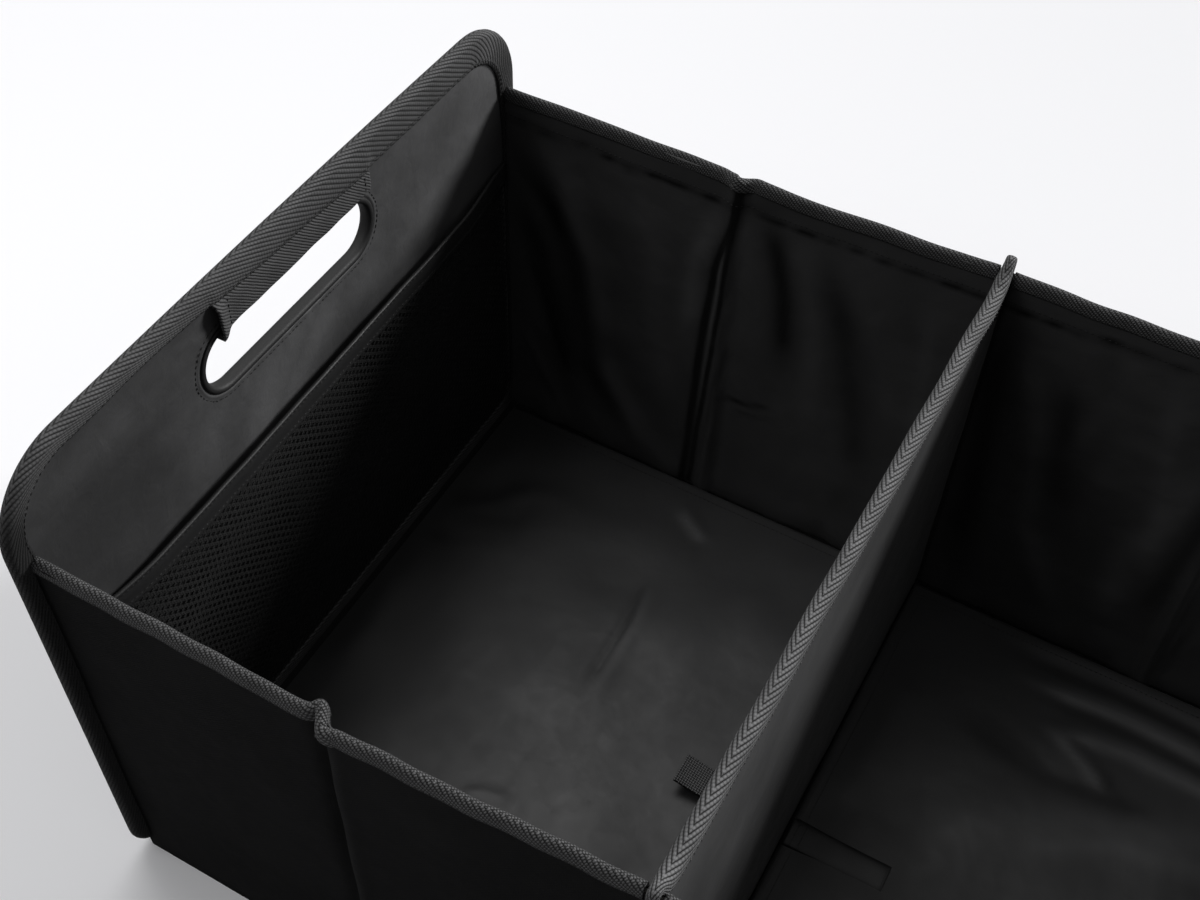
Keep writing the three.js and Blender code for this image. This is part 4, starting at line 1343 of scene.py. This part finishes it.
# Folds and shades lie at (distance from the divider, place across), with a width and a height. The shades are
# painted shade in creases and painted highlights on ridges and dents; "far" lightens the far part as painted
# light and "foot" darkens the part by the end panel as painted shadow
floorLook = {
    "left": {"seed": 91, "broad": 0.6, "fine": 0.03, "far": 0.4, "foot": -0.45, "folds": [
        ([(152, 160), (124, 144)], 4.5, 2.2),
        ([(140, 106), (134, 65), (133, 41), (131, 4)], 6.0, 1.0),
        ([(146, 100), (141, 65), (140, 41), (138, 6)], 2.6, -1.2),
        ([(262, 112), (240, 126), (216, 130)], 9.0, 1.0),
        ([(282, 84), (255, 92), (230, 106)], 9.0, -0.8),
        ([(165, -82), (138, -74)], 4.0, 1.2),
        ([(90, 130), (70, 100), (60, 60)], 16.0, 0.8),
    ], "shades": [
        ([(154, 162), (122, 143)], 4.0, 0.6),
        ([(146, 104), (141, 65), (140, 41), (138, 4)], 2.6, -0.55),
        ([(139, 100), (134, 65), (133, 41), (131, 10)], 4.0, 0.3),
        ([(285, 86), (262, 104), (240, 126)], 8.0, -0.7),
        ([(288, 58), (262, 64), (236, 80)], 6.0, -0.5),
        ([(165, -84), (138, -76)], 3.0, 0.5),
    ]},
    "right": {"seed": 97, "broad": 0.6, "fine": 0.04, "far": 0.35, "foot": 0.0, "folds": [
        ([(60, 172), (129, 174), (230, 168)], 3.6, 2.6),
        ([(84, 150), (150, 153), (240, 146)], 4.6, 2.6),
        ([(106, 124), (160, 131), (230, 128)], 5.0, 2.4),
        ([(112, 124), (135, 112), (156, 98)], 4.0, 1.4),
        ([(60, 110), (120, 94), (190, 100)], 8.0, -1.0),
        ([(50, 12), (105, 55), (230, 106)], 20.0, 1.6),
        ([(120, 40), (170, 70), (250, 84)], 7.0, 0.8),
        ([(60, -60), (150, -70), (260, -64)], 16.0, 1.0),
    ], "shades": [
        ([(66, 172), (129, 174), (220, 168)], 3.4, 0.9),
        ([(80, 161), (140, 164), (230, 158)], 3.4, -0.7),
        ([(92, 150), (150, 153), (230, 146)], 4.4, 0.9),
        ([(100, 139), (160, 142), (230, 137)], 4.0, -0.7),
        ([(112, 125), (160, 131), (224, 128)], 4.6, 0.8),
        ([(116, 122), (135, 112), (152, 100)], 3.6, 0.6),
        ([(56, 112), (120, 94), (186, 100)], 9.0, -0.5),
        ([(50, 10), (115, 58), (240, 104)], 15.0, 0.5),
        ([(110, 36), (170, 70), (250, 86)], 6.0, 0.3),
        ([(6, -4), (60, -20), (110, -60)], 22.0, -0.9),
    ]},
}


def addFloor(side, sign):
    look = floorLook[side]
    x0, x1 = case["baseFreeX"], case["hingeX"] - 0.4
    along = np.concatenate([x0 + np.array([0.0, 0.15, 0.6, 1.3, 2.4]), np.arange(x0 + 5.0, x1 - 3.0, 3.0),
                            [x1 - 1.6, x1 - 0.6, x1]])
    half = case["baseHalfY"]
    seamIn = 8.0
    edge = half - np.array([0.0, 0.15, 0.7, 1.6, 3.0, 5.0, seamIn])
    y = np.concatenate([-edge, np.arange(-half + 11.0, half - 10.0, 3.1), edge[::-1]])
    topRows = len(y)
    bottomY = np.linspace(half - 3.0, -half + 3.0, 9)
    allY = np.concatenate([y, bottomY])
    xx = np.repeat(along[:, None], len(allY), axis=1)
    yy = np.repeat(allY[None, :], len(along), axis=0)
    fromEdge = np.minimum(half - np.abs(yy), xx - x0)
    crown = 1.0 - np.clip(1.0 - fromEdge / 2.6, 0.0, 1.0) ** 2
    rise = np.sqrt(np.clip(crown, 0.0, 1.0))
    middle = (case["floorZ"] + case["footZ"]) / 2
    zz = np.where(np.arange(len(allY))[None, :] < topRows, middle + (case["floorZ"] - middle) * rise,
                  middle - (middle - case["footZ"]) * rise)
    inner = smoothStep(fromEdge, 2.0, 26.0) * smoothStep(x1 - xx, 0.0, 20.0)
    waves = look["broad"] * softWaves(xx, yy, look["seed"], 150.0, 50.0, 16)
    waves += look["fine"] * softWaves(xx, yy, look["seed"] + 1, 40.0, 12.0, 18)
    waves += foldSum(xx, yy, look["folds"])
    # Painted shade and painted light on the floor cloth
    shades = foldSum(xx, yy, look["shades"])
    shades = shades + look["far"] * smoothStep(yy, 40.0, 150.0) + look["foot"] * smoothStep(xx, 200.0, 285.0)
    # Flat under the pull tab
    beyondTab = np.hypot(np.maximum(xx - 64.0, 0.0), np.maximum(np.abs(yy - tabShape["y"]) - 11.0, 0.0))
    waves = waves * (0.15 + 0.85 * smoothStep(beyondTab, 0.0, 26.0))
    puff = 0.6 + waves * 0.75
    isTop = np.arange(len(allY))[None, :] < topRows
    zz = zz + np.where(isTop, np.clip(puff, 0.0, 3.0) * inner, 0.0)
    points = np.stack([sign * xx, yy, zz], -1)
    v = runs(np.abs(np.diff(allY)))
    v = np.append(v, v[-1] + 3.0)
    uv = uvGrid(along, v)
    obj = gridMesh(f"{side}_floor_cloth", points, uv, wrapCols=True, material=cloths["floor cloth"])
    shadeMesh(obj, np.where(isTop, shades, 0.0))
    finishPiece(obj, f"{side}_base", "lining_cloth", f"{side}_base_cover")
    above = np.array([0.0, 0.0, 0.2])
    for seamY in (half - seamIn, seamIn - half):
        stitchAlong(points[5:-3, int(np.argmin(np.abs(y - seamY)))] + above, f"{side}_base")
    stitchAlong(points[6, 6:topRows - 6] + above, f"{side}_base")


hingeLook = {"x": [291.6, 292.2, 293.0, 294.0, 295.0, 296.0, 296.4], "halfY": 181.6, "z": 4.6, "dip": 0.42}


def addHingeStrip(side, sign):
    x = np.array(hingeLook["x"])
    y = np.linspace(-hingeLook["halfY"], hingeLook["halfY"], 90)
    xx, yy = np.meshgrid(x, y, indexing="ij")
    dip = hingeLook["dip"] * np.sin((xx - x[0]) / (x[-1] - x[0]) * math.pi)
    zz = hingeLook["z"] - dip + 0.12 * softWaves(yy, xx, 103, 30.0, 10.0)
    points = np.stack([sign * xx, yy, zz], -1)
    obj = gridMesh(f"{side}_hinge_cloth", points, flatUv(xx, yy), facing=(0, 0, 1),
                   material=outerCloth)
    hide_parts(f"{side}_hinge_strip")
    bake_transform(obj)


def addPullTab(side, sign):
    # Webbing folded double: out along the floor, back on itself at the tip
    look = tabShape[side]
    lift, gap = look["lift"], look["gap"]
    start = case["baseFreeX"] + 1.0
    end = start + tabShape["length"]
    t = np.linspace(0.0, 1.0, 40)
    x = start + (end - start) * t
    base = case["floorZ"] + look["foot"]
    rise = lift * t ** 2
    upper = np.stack([x, base + rise + gap + 0.55], -1)
    lower = np.stack([x[::-1], base + rise[::-1] + 0.55], -1)
    turn = np.radians(np.linspace(80, -80, 7))
    nose = np.stack([end + 1.0 * np.cos(turn), base + lift + 0.55 + gap / 2 + gap * 0.65 * np.sin(turn)], -1)
    route = np.vstack([upper, nose, lower])
    width = np.linspace(-tabShape["width"] / 2, tabShape["width"] / 2, 14)
    share = width / (tabShape["width"] / 2)
    curl = 0.25 * np.cos(share * math.pi / 2) - look["droop"] * np.abs(share) ** 5
    points = np.zeros((len(route), len(width), 3))
    points[..., 0] = sign * route[:, 0:1]
    points[..., 1] = tabShape["y"] + width[None, :]
    points[..., 2] = route[:, 1:2] + curl[None, :]
    obj = gridMesh(f"{side}_tab_webbing", points, gridUv(points),
                   material=webbing if side == "left" else cloths["floor cloth"])
    shadeMesh(obj, np.full(points.shape[:2], look["shade"]))
    mesh = obj.data
    mesh.update()
    if mesh.polygons[5].normal.z < 0:
        mesh.flip_normals()
    thicken(obj, look["cloth"])
    finishPiece(obj, f"{side}_base", "herringbone_tape", f"{side}_pull_tab")
    for row in (3, 6):
        stitchAlong(points[row, 1:-1] + np.array([0.0, 0.0, 0.3]), f"{side}_base")


addBaseSkin()
for side, sign in bothSides:
    addFloor(side, sign)
    addHingeStrip(side, sign)
    addPullTab(side, sign)
print("base ready")


# Stitches along every seam, one mesh for each body

stitchLook = {"Pitch": 3.1, "Length": 2.2, "Radius": 0.27}


def stitchTree():
    tree, w, given = newPattern("lock stitches", stitchLook)
    curve = w.add("GeometryNodeMeshToCurve", {"Mesh": given.outputs["Geometry"]})
    even = w.add("GeometryNodeResampleCurve", mode="LENGTH")
    w.putAll({"Curve": curve.outputs[0], "Length": given.outputs["Pitch"]}, even)
    bead = w.add("GeometryNodeMeshUVSphere", {"Segments": 4, "Rings": 3, "Radius": 0.5})
    wide = w.math("MULTIPLY", given.outputs["Radius"], 2.0)
    size = w.add("ShaderNodeCombineXYZ", {0: given.outputs["Length"], 1: wide, 2: wide})
    tangent = w.add("GeometryNodeInputTangent")
    turned = w.add("FunctionNodeAlignRotationToVector", {"Vector": tangent.outputs[0]}, axis="X")
    # Sockets 2 and 3 are the least and the most
    vary = w.add("FunctionNodeRandomValue", {"Seed": 5, 2: 0.9, 3: 1.1}, data_type="FLOAT")
    scaled = w.add("ShaderNodeVectorMath", operation="SCALE")
    w.putAll({0: size.outputs[0], "Scale": vary.outputs[1]}, scaled)
    placed = w.add("GeometryNodeInstanceOnPoints",
                   {"Points": even.outputs[0], "Instance": bead.outputs[0], "Rotation": turned.outputs[0],
                    "Scale": scaled.outputs[0]})
    endPattern(w, placed.outputs[0], threads["seam thread"])
    return tree


def addStitches():
    tree = stitchTree()
    for body, lines in stitchLines.items():
        points, edges = [], []
        for line in lines:
            start = len(points)
            points.extend((line * mm).tolist())
            edges.extend((start + i, start + i + 1) for i in range(len(line) - 1))
        mesh = bpy.data.meshes.new(f"{body}_stitches")
        mesh.from_pydata(points, edges, [])
        obj = linkObject(f"{body}_stitches", mesh)
        applyTree(obj, tree, {name: value * mm for name, value in stitchLook.items()})
        finishPiece(obj, body, "herringbone_tape")
        print(body, "stitches:", len(obj.data.polygons), "faces")


addStitches()


# Floor, light and camera

studio = {
    "floorSize": 6.0, "floorSeen": ((0.83, 0.83, 0.85, 1), (0.85, 0.85, 0.87, 1)),
    "floorBounce": (0.30, 0.30, 0.31, 1), "backdrop": (0.87, 0.87, 0.89, 1.0),
    "brightSide": (-0.35, 0.45, 0.82), "dim": 0.06, "bright": 0.45,
    "softboxes": {
        "overhead softbox": {"place": (-0.90, 0.64, 2.10), "aim": (0.0, 0.0, 0.1), "size": (1.4, 1.2),
                             "power": 15.5},
        "front fill": {"place": (-1.00, -0.90, 1.70), "aim": (-0.1, 0.0, 0.1), "size": (0.9, 0.9),
                       "power": 8.0},
    },
    "key": {"from": (0.58, 0.72, 0.375), "spread": 17.0, "strength": 3.5},
}


def addStage():
    size = studio["floorSize"]
    mesh = bpy.data.meshes.new("studio_floor")
    corners = [(-size, -size, 0), (size, -size, 0), (size, size, 0), (-size, size, 0)]
    mesh.from_pydata(corners, [], [(0, 1, 2, 3)])
    floor = linkObject("studio_floor", mesh)
    material, w, shader = newMaterial("studio floor")
    seen = mixColour(w, w.noise(w.place("Object"), 1.5, 1.0), *studio["floorSeen"])
    # White to the camera only, so that little light comes up from it on to the front
    camera = w.add("ShaderNodeLightPath").outputs["Is Camera Ray"]
    w.putAll({"Base Color": mixColour(w, camera, studio["floorBounce"], seen), "Roughness": 0.7}, shader)
    mesh.materials.append(material)


def addSoftbox(name, look):
    data = bpy.data.lights.new(name, "AREA")
    data.shape = "RECTANGLE"
    data.size, data.size_y = look["size"]
    data.energy = look["power"]
    lamp = linkObject(name, data)
    lamp.location = look["place"]
    towards = Vector(look["aim"]) - Vector(look["place"])
    lamp.rotation_euler = towards.to_track_quat("-Z", "Y").to_euler()


def addKeyLight():
    key = studio["key"]
    data = bpy.data.lights.new("back key", "SUN")
    data.angle = math.radians(key["spread"])
    data.energy = key["strength"]
    lamp = linkObject("back key", data)
    lamp.rotation_euler = Vector(key["from"]).to_track_quat("Z", "Y").to_euler()


def addWorld():
    world = bpy.data.worlds.new("studio")
    world.use_nodes = True
    scene.world = world
    w = Wires(world.node_tree)
    world.node_tree.nodes.clear()
    # More light comes from behind the organizer than from the camera's side; the camera sees an even white
    towards = w.add("ShaderNodeVectorMath", {0: w.place("Generated"), 1: studio["brightSide"]},
                    operation="DOT_PRODUCT")
    level = ramp(w, towards.outputs["Value"], -0.5, 0.95, studio["dim"], studio["bright"])
    light = w.add("ShaderNodeBackground", {"Color": (1.0, 1.0, 1.0, 1.0), "Strength": level})
    seen = w.add("ShaderNodeBackground", {"Color": studio["backdrop"], "Strength": 1.0})
    camera = w.add("ShaderNodeLightPath").outputs["Is Camera Ray"]
    mix = w.add("ShaderNodeMixShader", {0: camera, 1: light.outputs[0], 2: seen.outputs[0]})
    w.add("ShaderNodeOutputWorld", {"Surface": mix.outputs[0]})


# Fitted to the photo
view = {"forward": (-0.29964, 0.57306, -0.76276), "right": (0.87271, 0.48767, 0.02355),
        "place": (0.08625, -0.41197, 0.78978), "lens": 45.78, "sensor": 36.0}


def addCamera():
    forward, right = (Vector(view[way]).normalized() for way in ("forward", "right"))
    up = right.cross(forward).normalized()
    turn = Matrix((right, up, -forward)).transposed().to_4x4()
    data = bpy.data.cameras.new("camera")
    data.lens = view["lens"]
    data.sensor_width = view["sensor"]
    data.sensor_fit = "HORIZONTAL"
    camera = linkObject("camera", data)
    camera.matrix_world = Matrix.Translation(view["place"]) @ turn
    scene.camera = camera


addStage()
addWorld()
for name, look in studio["softboxes"].items():
    addSoftbox(name, look)
addKeyLight()
addCamera()
scene.view_settings.view_transform = "Standard"

print("scene ready")
